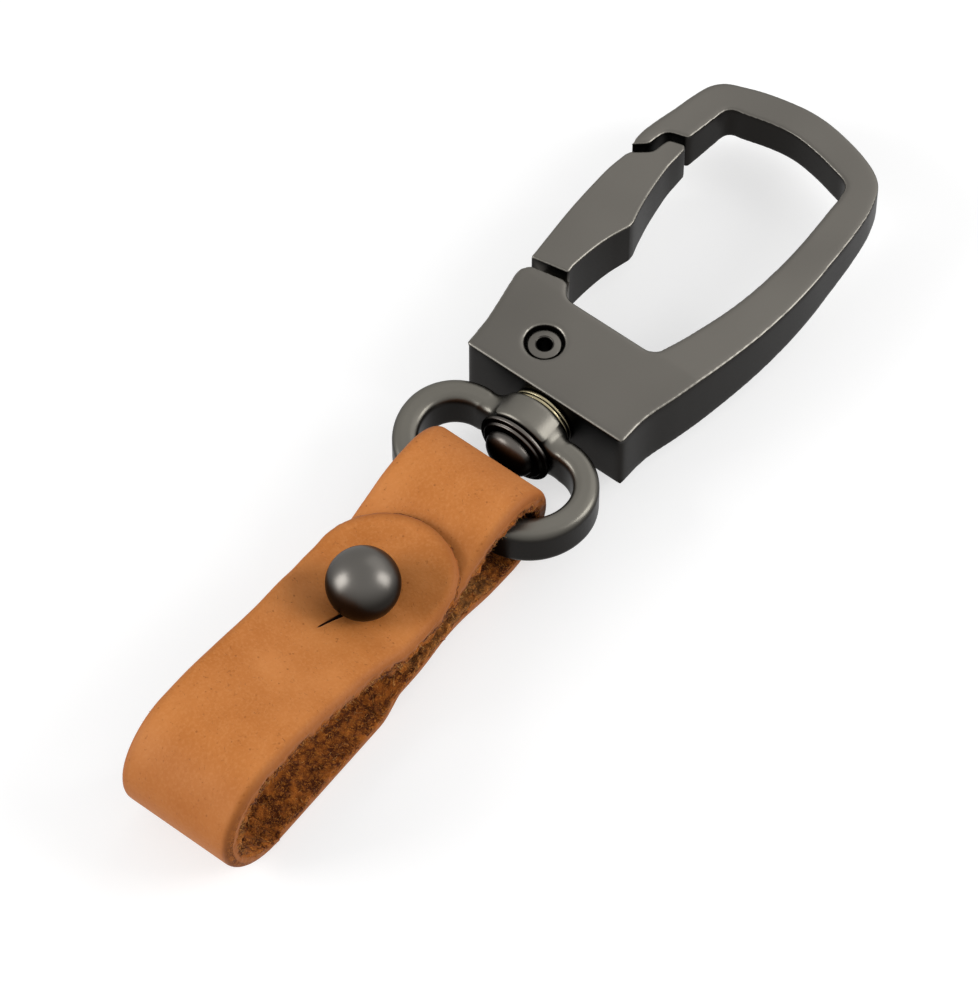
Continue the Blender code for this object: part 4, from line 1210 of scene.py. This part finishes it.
@dataclass
class Stretch:
    """A stretch of the strip, in its flat coordinates: X across, Y along, Z up from the flesh to the grain.

    How raw each vertex is runs from 0 on the grain side over the burnished rim to 1 for bare fibre. On the grain
    side the same number carries painted shade where the strip bends. Loose fibres and the paler span of the flesh side
    lie above 1, and the walls of the holes, painted dark as shade, below 0.
    """

    name: str
    line: FoldLine
    width: float
    thickness: float
    row: float
    columns: int
    layers: int
    edge_round: float
    fray: float
    nap: float
    seed: int
    bend_middle: float
    bend_reach: float = 7.0 * MM
    # How much painted shade the grain side gets where the strip bends.
    bend_shade: float = 0.2
    pale_span: Pair = (-100.0 * MM, -90.0 * MM)
    pale_fade: float = 5.0 * MM
    pale: float = 0.3
    end_depth: float = 0.0
    skive: float = 0.0
    skive_reach: float = 7.5 * MM
    skew: float = 0.0
    skew_reach: float = 4.0 * MM
    side_crowding: float = 0.45
    end_turns: int = 37
    end_turn: float = 88.0
    burnished: float = 0.4
    burnished_rise: float = 0.1
    burnished_reach: float = 0.35
    fibre_start: float = 0.4
    fibre_fade: float = 0.3
    wander: Relief = Relief(1.1 * MM, 0.3)
    rim_tint: float = 0.45
    rim_tint_reach: float = 1.4
    rim_tint_fall: float = 1.5
    fray_reach: float = 0.9 * MM
    tuft: Relief = Relief(3.2 * MM, 0.55)
    clump: Relief = Relief(0.9 * MM, 0.75)
    hair: Relief = Relief(0.33 * MM, 0.45)
    lump: Relief = Relief(1.6 * MM, 0.5)
    crumb: Relief = Relief(0.95 * MM, 1.4)
    crumb_level: float = 0.45

    def __post_init__(self) -> None:
        """Works out the rows, the last ones closer where the end is rounded."""
        self.half = self.width / 2
        straight = self.line.length - self.end_depth
        rows = np.linspace(0.0, straight, max(2, round(straight / self.row)) + 1)
        widths = np.full(len(rows), self.half)
        if self.end_depth:
            turns = np.radians(np.linspace(0.0, self.end_turn, self.end_turns))[1:]
            rows = np.concatenate([rows, straight + self.end_depth * np.sin(turns)])
            widths = np.concatenate([widths, self.half * np.cos(turns)])
        self.straight = straight
        self.rows = rows
        self.widths = widths

    def rim_gap(self, x: np.ndarray, gone: np.ndarray) -> np.ndarray:
        """How far places lie inside the strip's outline.

        Args:
            x: places across.
            gone: places along.

        Returns:
            The distance from the nearest rim for each.
        """
        gap = self.half - np.abs(x)
        if self.end_depth:
            out = np.clip((gone - self.straight) / self.end_depth, 0.0, None)
            across = np.abs(x) / self.half
            reach = np.hypot(out, across)
            turn = np.arctan2(out, across + 1e-9)
            scale = self.half * np.cos(turn) ** 2 + self.end_depth * np.sin(turn) ** 2
            gap = np.where(out > 0, (1 - reach) * scale, gap)
        return np.clip(gap, 0.0, None)

    def blank(self) -> bmesh.types.BMesh:
        """The flat blank: a grid drawn to the outline, extruded, its cut edges split in layers.

        Returns:
            The blank.
        """
        shape = bmesh.new()
        last = len(self.rows) - 1
        bmesh.ops.create_grid(shape, x_segments=self.columns, y_segments=last, size=1.0)
        for vert in shape.verts:
            row = round((vert.co.y + 1) / 2 * last)
            crowded = math.sin(vert.co.x * math.pi / 2)
            across = (1 - self.side_crowding) * vert.co.x + self.side_crowding * crowded
            vert.co = (across * self.widths[row], self.rows[row], 0.0)
        made = bmesh.ops.extrude_face_region(shape, geom=shape.faces[:], use_keep_orig=True)
        lifted = [part for part in made["geom"] if isinstance(part, bmesh.types.BMVert)]
        bmesh.ops.translate(shape, verts=lifted, vec=(0.0, 0.0, self.thickness))
        upright = [edge for edge in shape.edges if abs(edge.verts[0].co.z - edge.verts[1].co.z) > self.thickness / 2]
        bmesh.ops.subdivide_edges(shape, edges=upright, cuts=self.layers - 1)
        bmesh.ops.recalc_face_normals(shape, faces=shape.faces)
        return shape

    def punched(self, shape: bmesh.types.BMesh, outlines: Sequence[Sequence[Pair]]) -> bmesh.types.BMesh:
        """Punches holes through the blank.

        Args:
            shape: the blank, which is freed.
            outlines: each hole's outline in flat coordinates.

        Returns:
            The punched blank.
        """
        bases = [(shape, "")]
        for outline in outlines:
            punch = bmesh.new()
            face = punch.faces.new([punch.verts.new((x, y, -self.thickness)) for x, y in outline])
            made = bmesh.ops.extrude_face_region(punch, geom=[face], use_keep_orig=True)
            lifted = [part for part in made["geom"] if isinstance(part, bmesh.types.BMVert)]
            bmesh.ops.translate(punch, verts=lifted, vec=(0.0, 0.0, 3 * self.thickness))
            bmesh.ops.recalc_face_normals(punch, faces=punch.faces)
            bases.append((punch, "DIFFERENCE"))
        return combined(bases)

    def work(self, shape: bmesh.types.BMesh) -> None:
        """Rounds the grain's edge, frays the cut edges and raises the nap on the flesh side.

        Args:
            shape: the punched blank.
        """
        raw_and_shade_layer = shape.verts.layers.float.new(WearAndShade.RAW_AND_SHADE.value)
        self.split_hole_walls(shape)
        places = np.array([vert.co for vert in shape.verts])
        gaps = self.rim_gap(places[:, 0], places[:, 1])
        on_grain = places[:, 2] > self.thickness - MICRON
        on_flesh = places[:, 2] < MICRON
        heights = self.edged_heights(places[:, 2], gaps, on_grain, on_flesh)
        raws_and_shade = self.rawness_and_shade(places, heights, gaps, on_grain, on_flesh)
        for vert, x, gone, height, gap, grain, flesh, raw in zip(
            shape.verts, places[:, 0], places[:, 1], heights, gaps, on_grain, on_flesh, raws_and_shade
        ):
            vert[raw_and_shade_layer] = raw
            vert.co.z = height
            if not grain:
                out = self.fray * float(1 - eased(gap / self.fray_reach)) * abs(raw)
                vert.co += self.outward(x, gone) * out * self.frayed(x, gone, height)
            if flesh:
                spot = Vector((x, gone, self.seed * MM))
                lump = self.lump.share * noise.noise(spot / self.lump.size)
                crumb = self.crumb.share * (self.crumb_level - noise.voronoi(spot / self.crumb.size)[0][0])
                vert.co.z -= self.nap * (lump + crumb)

    def split_hole_walls(self, shape: bmesh.types.BMesh) -> None:
        """Splits the walls of the holes in as many layers as the cut edges have.

        Args:
            shape: the punched blank.
        """
        walls = [
            edge for edge in shape.edges
            if abs(edge.verts[0].co.z - edge.verts[1].co.z) > self.thickness * 0.9
            and all(self.rim_gap(np.array(vert.co.x), np.array(vert.co.y)) > self.edge_round for vert in edge.verts)
        ]
        bmesh.ops.subdivide_edges(shape, edges=walls, cuts=self.layers - 1)

    def edged_heights(
        self, heights: np.ndarray, gaps: np.ndarray, on_grain: np.ndarray, on_flesh: np.ndarray
    ) -> np.ndarray:
        """Rounds the grain side down towards its rim, and lowers the cut edges with it.

        Args:
            heights: the flat heights.
            gaps: how far each place is from the rim.
            on_grain: whether it is on the grain side.
            on_flesh: whether it is on the flesh side.

        Returns:
            The new heights.
        """
        drop = np.clip(self.edge_round - gaps, 0.0, None)
        drop = self.edge_round - np.sqrt(np.clip(self.edge_round**2 - drop**2, 0.0, None))
        low_share = (self.thickness - self.edge_round) / self.thickness
        on_rim = ~on_grain & ~on_flesh & (gaps < 10 * MICRON)
        return np.where(on_rim, heights * low_share, np.where(on_grain, self.thickness - drop, heights))

    def rawness_and_shade(
        self, places: np.ndarray, heights: np.ndarray, gaps: np.ndarray, on_grain: np.ndarray, on_flesh: np.ndarray
    ) -> np.ndarray:
        """How raw the leather is at each place, with the painted shade of the bends and of the holes in the same
        number.

        Args:
            places: the flat places.
            heights: their heights with the edge rounded.
            gaps: how far each place is from the rim.
            on_grain: whether it is on the grain side.
            on_flesh: whether it is on the flesh side.

        Returns:
            The rawness of each.
        """
        # Cut edge: burnished near the grain side, and bare fibre below a line that wanders.
        depth = 1 - np.clip(heights / (self.thickness - self.edge_round), 0.0, 1.0)
        spots = [Vector((x, gone, self.seed * MM)) for x, gone, _ in places]
        wander = self.wander.share * np.array([noise.noise(spot / self.wander.size) for spot in spots])
        burnished = self.burnished + self.burnished_rise * np.clip(depth / self.burnished_reach, 0.0, 1.0)
        bare = 1 - self.burnished - self.burnished_rise
        raws_and_shade = burnished + bare * eased((depth - self.fibre_start + wander) / self.fibre_fade)
        # Grain side: painted shade where it is bent round, and darker along its rim.
        bent = self.bend_shade * np.exp(-(((places[:, 1] - self.bend_middle) / self.bend_reach) ** 2))
        rim = np.clip(1 - gaps / (self.rim_tint_reach * self.edge_round), 0.0, 1.0)
        raws_and_shade = np.where(on_grain, bent + self.rim_tint * rim**self.rim_tint_fall, raws_and_shade)
        # Painted shade: the walls inside the holes are marked to be painted nearly black.
        from_ends = np.minimum(places[:, 1], self.line.length - places[:, 1])
        in_hole = ~on_grain & ~on_flesh & (gaps > self.edge_round) & (from_ends > self.edge_round)
        raws_and_shade = np.where(in_hole, -1.0, raws_and_shade)
        # Flesh side: bare, and paler along the pale span.
        raws_and_shade = np.where(on_flesh, 1.0, raws_and_shade)
        pale = self.pale * eased((places[:, 1] - self.pale_span[0]) / self.pale_fade)
        pale = pale * (1 - eased((places[:, 1] - self.pale_span[1]) / self.pale_fade))
        return raws_and_shade + pale * (raws_and_shade > 0.9)

    def outward(self, x: float, gone: float) -> Vector:
        """The way out of the strip, towards its side or its rounded end.

        Args:
            x: the place across.
            gone: the place along.

        Returns:
            A vector of length 1 in the flat plane.
        """
        if self.end_depth and gone > self.straight:
            return Vector((x / self.half**2, (gone - self.straight) / self.end_depth**2, 0.0)).normalized()
        return Vector((math.copysign(1.0, x), 0.0, 0.0))

    def frayed(self, x: float, gone: float, height: float) -> float:
        """How far the fray stands out at a place, from tufts over clumps to hairs.

        Args:
            x: the place across, of which only the side counts.
            gone: the place along.
            height: the place's height.

        Returns:
            The share of the fray's depth, above or below 0.
        """
        # The noise is read far apart for the two sides, so that they don't match.
        spot = Vector((math.copysign(9 * MM, x), gone, height + self.seed * MM))
        tuft = self.tuft.share * noise.noise(spot / self.tuft.size)
        clump = self.clump.share * noise.noise(spot / self.clump.size + Vector((5.0, 0.0, 0.0)))
        hair = self.hair.share * noise.noise(spot / self.hair.size + Vector((0.0, 9.0, 0.0)))
        return tuft + clump + hair

    def add_fibres(self, shape: bmesh.types.BMesh, kind: Fibres) -> None:
        """Adds loose fibres that stand off the cut edges and the flesh side, each a bent three-sided spike.

        Args:
            shape: the flat stretch that gets them.
            kind: what sort of fibres.
        """
        raw_and_shade_layer = shape.verts.layers.float[WearAndShade.RAW_AND_SHADE.value]
        spike_shape = bmesh.new()
        bmesh.ops.create_cone(
            spike_shape, cap_ends=True, segments=3, radius1=1.0, radius2=0.3, depth=1.0,
            matrix=Matrix.Translation((0.0, 0.0, 0.5)),
        )
        upright = [edge for edge in spike_shape.edges if abs(edge.verts[0].co.z - edge.verts[1].co.z) > 0.5]
        bmesh.ops.subdivide_edges(spike_shape, edges=upright, cuts=2)
        spike = bpy.data.meshes.new("fibre")
        spike_shape.to_mesh(spike)
        spike_shape.free()
        draw = random.Random(self.seed)
        for _ in range(kind.count):
            side = draw.choice((-1.0, 1.0))
            gone = draw.uniform(0.3 * MM, self.straight)
            if draw.random() < kind.edge_share:
                x, height = side * self.half, draw.uniform(0.0, kind.edge_height) * self.thickness
                heading = Vector((side * draw.uniform(0.1, 0.5), draw.uniform(-1.0, 1.0), draw.uniform(-1.0, -0.1)))
            else:
                x, height = side * (self.half - draw.uniform(0.0, kind.reach)), 0.0
                heading = Vector((draw.uniform(-1.0, 1.0), draw.uniform(-1.0, 1.0), draw.uniform(-0.5, -0.12)))
            length = draw.uniform(*kind.length)
            radius = draw.uniform(*kind.radius)
            bend = draw.uniform(-kind.bend, kind.bend) * length
            tone = draw.uniform(*kind.tone)
            turn = heading.to_track_quat("Z", "Y").to_matrix()
            start = len(shape.verts)
            shape.from_mesh(spike)
            shape.verts.ensure_lookup_table()
            root = Vector((x, gone, height)) - heading.normalized() * kind.root
            for vert in shape.verts[start:]:
                rise = vert.co.z
                bent = Vector((vert.co.x * radius + bend * rise**2, vert.co.y * radius, rise * length))
                vert.co = root + turn @ bent
                vert[raw_and_shade_layer] = tone

    def lay(self, shape: bmesh.types.BMesh, lie: Lie) -> None:
        """Keeps each vertex's flat place as an attribute, then lays the strip along its fold line.

        Args:
            shape: the flat stretch.
            lie: from the flat places and the Y of each, their X and their lift as they really lie.
        """
        place_layer = shape.verts.layers.float_vector.new(WearAndShade.PLACE.value)
        flat = np.array([vert.co for vert in shape.verts])
        near_end = eased((flat[:, 1] - self.straight + self.skew_reach) / self.skew_reach)
        gone = flat[:, 1] + self.skew * flat[:, 0] * near_end
        middles, grains = self.line.place(np.clip(gone, 0.0, self.line.length))
        thin = 1 - self.skive * eased((gone - self.line.length + self.skive_reach) / self.skive_reach)
        rise = flat[:, 2] * thin - self.thickness / 2
        y = middles[:, 0] + grains[:, 0] * rise
        z = middles[:, 1] + grains[:, 1] * rise
        x, lift = lie(flat, y)
        overhang = np.where(gone > self.line.length, gone - self.line.length, np.minimum(gone, 0.0))
        y = y + overhang * grains[:, 1]
        z = z + lift - overhang * grains[:, 0]
        for vert, place, *laid in zip(shape.verts, flat, x, y, z):
            vert[place_layer] = place
            vert.co = AXIS + Vector(laid)


@dataclass
class LeatherStrap:
    """One strip of leather: cut flat, frayed on its raw sides, then folded round the ring and over the stud."""

    finish: TanLeather
    width: float = 14.0 * MM
    thickness: float = 2.3 * MM
    bar_y: float = -14.45 * MM
    stud_x: float = 0.4 * MM
    stud_y: float = -31.0 * MM
    fold_y: float = -54.3 * MM
    fold_z: float = 1.35 * MM
    loop_middle: float = 4.95 * MM
    fold_middle: float = 6.3 * MM
    front_z: float = -0.2 * MM
    back_z: float = -2.8 * MM
    tongue_z: float = 2.5 * MM
    front_tail: float = 3.4 * MM
    drop_start: float = 3.0 * MM
    drop_length: float = 3.6 * MM
    tongue_end: float = 10.0 * MM
    tongue_end_depth: float = 7.0 * MM
    dish_left: float = 1.1 * MM
    dish_right: float = 0.25 * MM
    dish_reach: float = 9.0 * MM
    dish_ahead: float = 2.0 * MM
    tongue_dish_left: float = 1.5 * MM
    tongue_dish_ahead: float = -2.5 * MM
    slide: float = 0.6 * MM
    slide_start: float = -22.0 * MM
    slide_end: float = -32.0 * MM
    flare: float = 0.2 * MM
    flare_reach: float = 6.0 * MM
    spread: float = 0.08
    spread_aside: float = 0.1 * MM
    tuck: float = 0.5 * MM
    spread_reach: float = 9.0 * MM
    end_skew: float = 0.12
    row: float = 0.26 * MM
    columns: int = 56
    layers: int = 10
    edge_round: float = 0.85 * MM
    fray: float = 0.36 * MM
    nap: float = 0.3 * MM
    button_hole: float = 2.1 * MM
    screw_hole: float = 1.3 * MM
    slit_reach: float = 6.85 * MM
    slit_width: float = 0.6 * MM
    slit_tip: float = 0.24 * MM
    slit_lean: float = 0.187
    hairs: Fibres = Fibres(1100, (0.2 * MM, 0.6 * MM), (0.018 * MM, 0.04 * MM), 0.6, tone=(1.3, 1.9))
    tufts: Fibres = Fibres(380, (0.4 * MM, 0.9 * MM), (0.06 * MM, 0.12 * MM), 0.1, tone=(1.1, 1.5))
    front_flat: float = 10.0 * MM
    front_fade: float = 10.0 * MM
    fold_steps: int = 48
    drop_steps: int = 32
    hole_steps: int = 40
    bend_way: Triple = (0.0, 0.5, 0.866)
    bend_span: Pair = (-5.5 * MM, 4.0 * MM)
    front_climb: tuple[Pair, ...] = (
        (0.0, 0.0), (0.12, 0.0), (0.29, 0.13), (0.41, 0.32), (0.525, 0.53), (0.645, 0.735), (0.75, 0.90),
        (0.86, 0.985), (1.0, 1.0),
    )
    back_sink: tuple[Pair, ...] = ((0.0, 0.0), (0.28, 0.0), (0.52, 0.38), (0.77, 0.85), (1.0, 1.0))
    tongue_fall: tuple[Pair, ...] = (
        (0.0, 0.0), (0.18, 0.04), (0.34, 0.19), (0.57, 0.50), (0.785, 0.78), (0.92, 0.985), (1.0, 1.0),
    )

    def between_stud_and_bar(self, shares: Sequence[Pair], low: float, high: float) -> list[Pair]:
        """A layer's side view from the stud to the bar.

        Args:
            shares: its points, as shares of the way along and of the way up.
            low: its height at the stud.
            high: its height at the bar.

        Returns:
            The (Y, Z) points.
        """
        reach = self.bar_y - self.stud_y
        return smooth_run([(self.stud_y + y * reach, low + (high - low) * z) for y, z in shares])

    def strap_path(self) -> list[Pair]:
        """Side view of the strip's middle from its front end round the ring's bar to the fold's foot.

        Returns:
            The (Y, Z) points.
        """
        climb = self.between_stud_and_bar(self.front_climb, self.front_z, self.loop_middle)
        sink = self.between_stud_and_bar(self.back_sink, self.back_z, -self.loop_middle)
        path = [(self.stud_y - self.front_tail, self.front_z), *climb[:-1]]
        path += arc((self.bar_y, 0.0), self.loop_middle, 90.0, -90.0, self.fold_steps)
        path += sink[-2::-1]
        for i in range(self.drop_steps + 1):
            share = i / self.drop_steps
            y = self.stud_y - self.drop_start - self.drop_length * share
            path.append((y, self.back_z - (self.loop_middle + self.back_z) * (1 - math.cos(math.pi * share)) / 2))
        path.append((self.fold_y, -self.loop_middle))
        return path

    def tongue_path(self) -> list[Pair]:
        """Side view of the strip's middle from the fold's foot over the stud to the rounded end.

        Returns:
            The (Y, Z) points.
        """
        path = arc((self.fold_y, self.fold_z), self.fold_middle, 270.0, 90.0, 2 * self.fold_steps)
        top = self.fold_z + self.fold_middle
        reach = self.stud_y - self.fold_y
        fall = [(self.fold_y + y * reach, top + (self.tongue_z - top) * z) for y, z in self.tongue_fall]
        path += smooth_run(fall)[1:]
        climb = self.between_stud_and_bar(self.front_climb, self.front_z, self.loop_middle)
        over = offset_run(climb, self.tongue_z - self.front_z)
        path += [dot for dot in over[1:] if dot[0] < self.stud_y + self.tongue_end]
        return path

    def raised(self, x: np.ndarray, y: np.ndarray, left: float, ahead: float) -> np.ndarray:
        """How far a layer's sides stand up round the stud.

        Args:
            x: places across.
            y: places along.
            left: how far the left side stands up.
            ahead: how far beyond the stud it does so most.

        Returns:
            The lift at each place.
        """
        near = np.exp(-(((y - self.stud_y - ahead) / self.dish_reach) ** 2))
        return near * np.where(x < 0, left, self.dish_right) * (2 * x / self.width) ** 2

    def strap_lie(self, flat: np.ndarray, y: np.ndarray) -> tuple[np.ndarray, np.ndarray]:
        """How the strap strays from a true fold: the front dished under the tongue, the back slid aside.

        Args:
            flat: flat places.
            y: where each comes to lie along Y.

        Returns:
            X and the lift of each.
        """
        x, gone = flat[:, 0], flat[:, 1]
        front = 1 - eased((gone - self.front_flat) / self.front_fade)
        slid = np.where(front > 0, 0.0, eased((self.slide_start - y) / (self.slide_start - self.slide_end)))
        tucked = self.tuck * (1 - eased(gone / self.front_flat))
        return x + self.slide * slid - tucked, front * self.raised(x, y, self.dish_left, self.dish_ahead)

    def tongue_lie(self, flat: np.ndarray, y: np.ndarray) -> tuple[np.ndarray, np.ndarray]:
        """How the tongue strays from a true fold: flared inside the bend, and spread over the stud.

        Args:
            flat: flat places.
            y: where each comes to lie along Y.

        Returns:
            X and the lift of each.
        """
        x, gone, height = flat.T
        bend = self.fold_middle * math.pi
        slid = self.slide * (1 - eased(gone / bend))
        inner = 1 - np.clip(height / self.thickness, 0.0, 1.0)
        flared = self.flare * inner * np.exp(-((gone / self.flare_reach) ** 2)) * 2 * x / self.width
        spread = eased((y - self.stud_y + self.spread_reach) / self.spread_reach) * (gone > bend)
        aside = spread * (self.spread * x + self.spread_aside)
        lift = self.raised(x, y, self.tongue_dish_left, self.tongue_dish_ahead)
        return x + slid + flared + aside, eased((gone - bend) / self.front_fade) * lift

    def round_hole(self, gone: float, radius: float) -> list[Pair]:
        """A round hole's outline in flat coordinates, on the stud's axis."""
        return arc((self.stud_x, gone), radius, 0.0, 360.0, self.hole_steps)[:-1]

    def keyhole(self, gone: float) -> list[Pair]:
        """The buttonhole's outline: the round hole with the slit running off towards the fold.

        Args:
            gone: the length gone along the tongue at the stud.

        Returns:
            The outline in flat coordinates.
        """
        heading = Vector((-self.slit_lean, -1.0)).normalized()
        tip = Vector((self.stud_x, gone)) + heading * self.slit_reach
        across = Vector((-heading.y, heading.x)) * self.slit_tip / 2
        sides = [tuple(tip - heading * 2 * self.slit_tip + across * side) for side in (-1, 1)]
        half_slit = self.slit_width / 2 / self.button_hole
        start = math.degrees(math.atan2(heading.y, heading.x) + half_slit)
        last = start + 360.0 - math.degrees(2 * half_slit)
        round_part = arc((self.stud_x, gone), self.button_hole, start, last, self.hole_steps)
        return [*round_part, sides[0], tuple(tip), sides[1]]

    def laid(
        self, stretch: Stretch, holes: Sequence[Sequence[Pair]], meeting: float, lie: Lie, material: bpy.types.Material
    ) -> bpy.types.Object:
        """Cuts, punches, works and folds one stretch of the strip.

        Args:
            stretch: which one.
            holes: the outlines of its holes.
            meeting: the length gone where it meets the other stretch.
            lie: how it strays from a true fold.
            material: its finish.

        Returns:
            The finished piece.
        """
        shape = stretch.punched(stretch.blank(), holes)
        # Smooth shading stops where the stretches meet, so that no seam shows there.
        for edge in shape.edges:
            edge.smooth = any(abs(vert.co.y - meeting) > self.row / 10 for vert in edge.verts)
        stretch.work(shape)
        stretch.add_fibres(shape, self.hairs)
        stretch.add_fibres(shape, self.tufts)
        stretch.lay(shape, lie)
        return finished(stretch.name, shape, material)

    def build(self) -> list[str]:
        """Makes the strap and its tongue, which bends where it is unbuttoned.

        Returns:
            Their names.
        """
        material = self.finish.material()
        strap_line = FoldLine(self.strap_path())
        tongue_line = FoldLine(self.tongue_path())
        common = {
            "width": self.width, "thickness": self.thickness, "row": self.row, "columns": self.columns,
            "layers": self.layers, "edge_round": self.edge_round, "fray": self.fray, "nap": self.nap,
        }
        round_bar = self.loop_middle * math.pi / 2
        bend = self.fold_middle * math.pi / 2
        top = strap_line.gone_at(self.bar_y, True) + round_bar
        front = strap_line.gone_at(self.stud_y, True)
        back = strap_line.gone_at(self.stud_y, False)
        button = tongue_line.gone_at(self.stud_y, True)
        strap = Stretch(
            "leather_strap", strap_line, seed=3, bend_middle=top, pale_span=(top + round_bar, back), **common
        )
        tongue = Stretch(
            "leather_tongue", tongue_line, seed=8, bend_middle=bend, bend_shade=0.3, end_depth=self.tongue_end_depth,
            skive=0.5, skew=self.end_skew, pale_span=(bend * 0.4, bend * 1.5), pale=0.25, **common,
        )
        holes = [self.round_hole(front, self.screw_hole), self.round_hole(back, self.screw_hole)]
        strap_item = self.laid(strap, holes, strap_line.length, self.strap_lie, material)
        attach(strap_item, "strap")
        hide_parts("strap")
        tongue_item = self.laid(tongue, [self.keyhole(button)], 0.0, self.tongue_lie, material)
        centre = AXIS + Vector((0.0, self.fold_y, self.fold_z))
        start, end = (centre + Vector(self.bend_way).normalized() * reach for reach in self.bend_span)
        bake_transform(tongue_item, "strap", "tongue", start=start, end=end)
        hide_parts("strap_tongue")
        return [strap_item.name, tongue_item.name]


def main() -> None:
    """Builds every sub-assembly in order and reports each piece."""
    logging.basicConfig(level=logging.INFO, format="%(message)s")
    Studio().build()
    # Each plating: its lit face tone, the painted shade of its walls and undersides, its pale edge tone, partly painted
    # highlight, and its roughness.
    gunmetal = PlatedMetal("satin gunmetal plating on cast zinc", "gunmetal", "#5e5b56", "#201e1c", "#8f8b83", 0.36)
    ring_metal = PlatedMetal("satin gunmetal plating on the ring", "gunmetal", "#69665f", "#201e1c", "#99958d", 0.34)
    dark = PlatedMetal(
        "polished black nickel plating", "dark_gunmetal", "#5a5652", "#151413", "#8e8982", 0.34,
        grit_depth=0.0006 * MM, glancing=0.4,
    )
    nickel = PlatedMetal(
        "bright nickel plating", "nickel", "#a09678", "#16140f", "#d8cfb4", 0.24, grit_depth=0.001 * MM
    )
    stud_metal = PlatedMetal("gunmetal plating on turned brass", "stud_metal", "#5a5753", "#262320", "#8e8a84", 0.33)
    steel = PlatedMetal("drawn spring steel", "spring_steel", "#8a8a88", "#8a8a88", "#b0b0ae", 0.3)
    sub_assemblies = (
        HookCastings(gunmetal),
        GateSpring(steel),
        TurnedPieces(gunmetal, dark, nickel, stud_metal),
        SwivelRing(ring_metal),
        LeatherStrap(TanLeather()),
    )
    for sub_assembly in sub_assemblies:
        for name in sub_assembly.build():
            logging.info("%s: %s", type(sub_assembly).__name__, name)


if __name__ == "__main__":
    main()
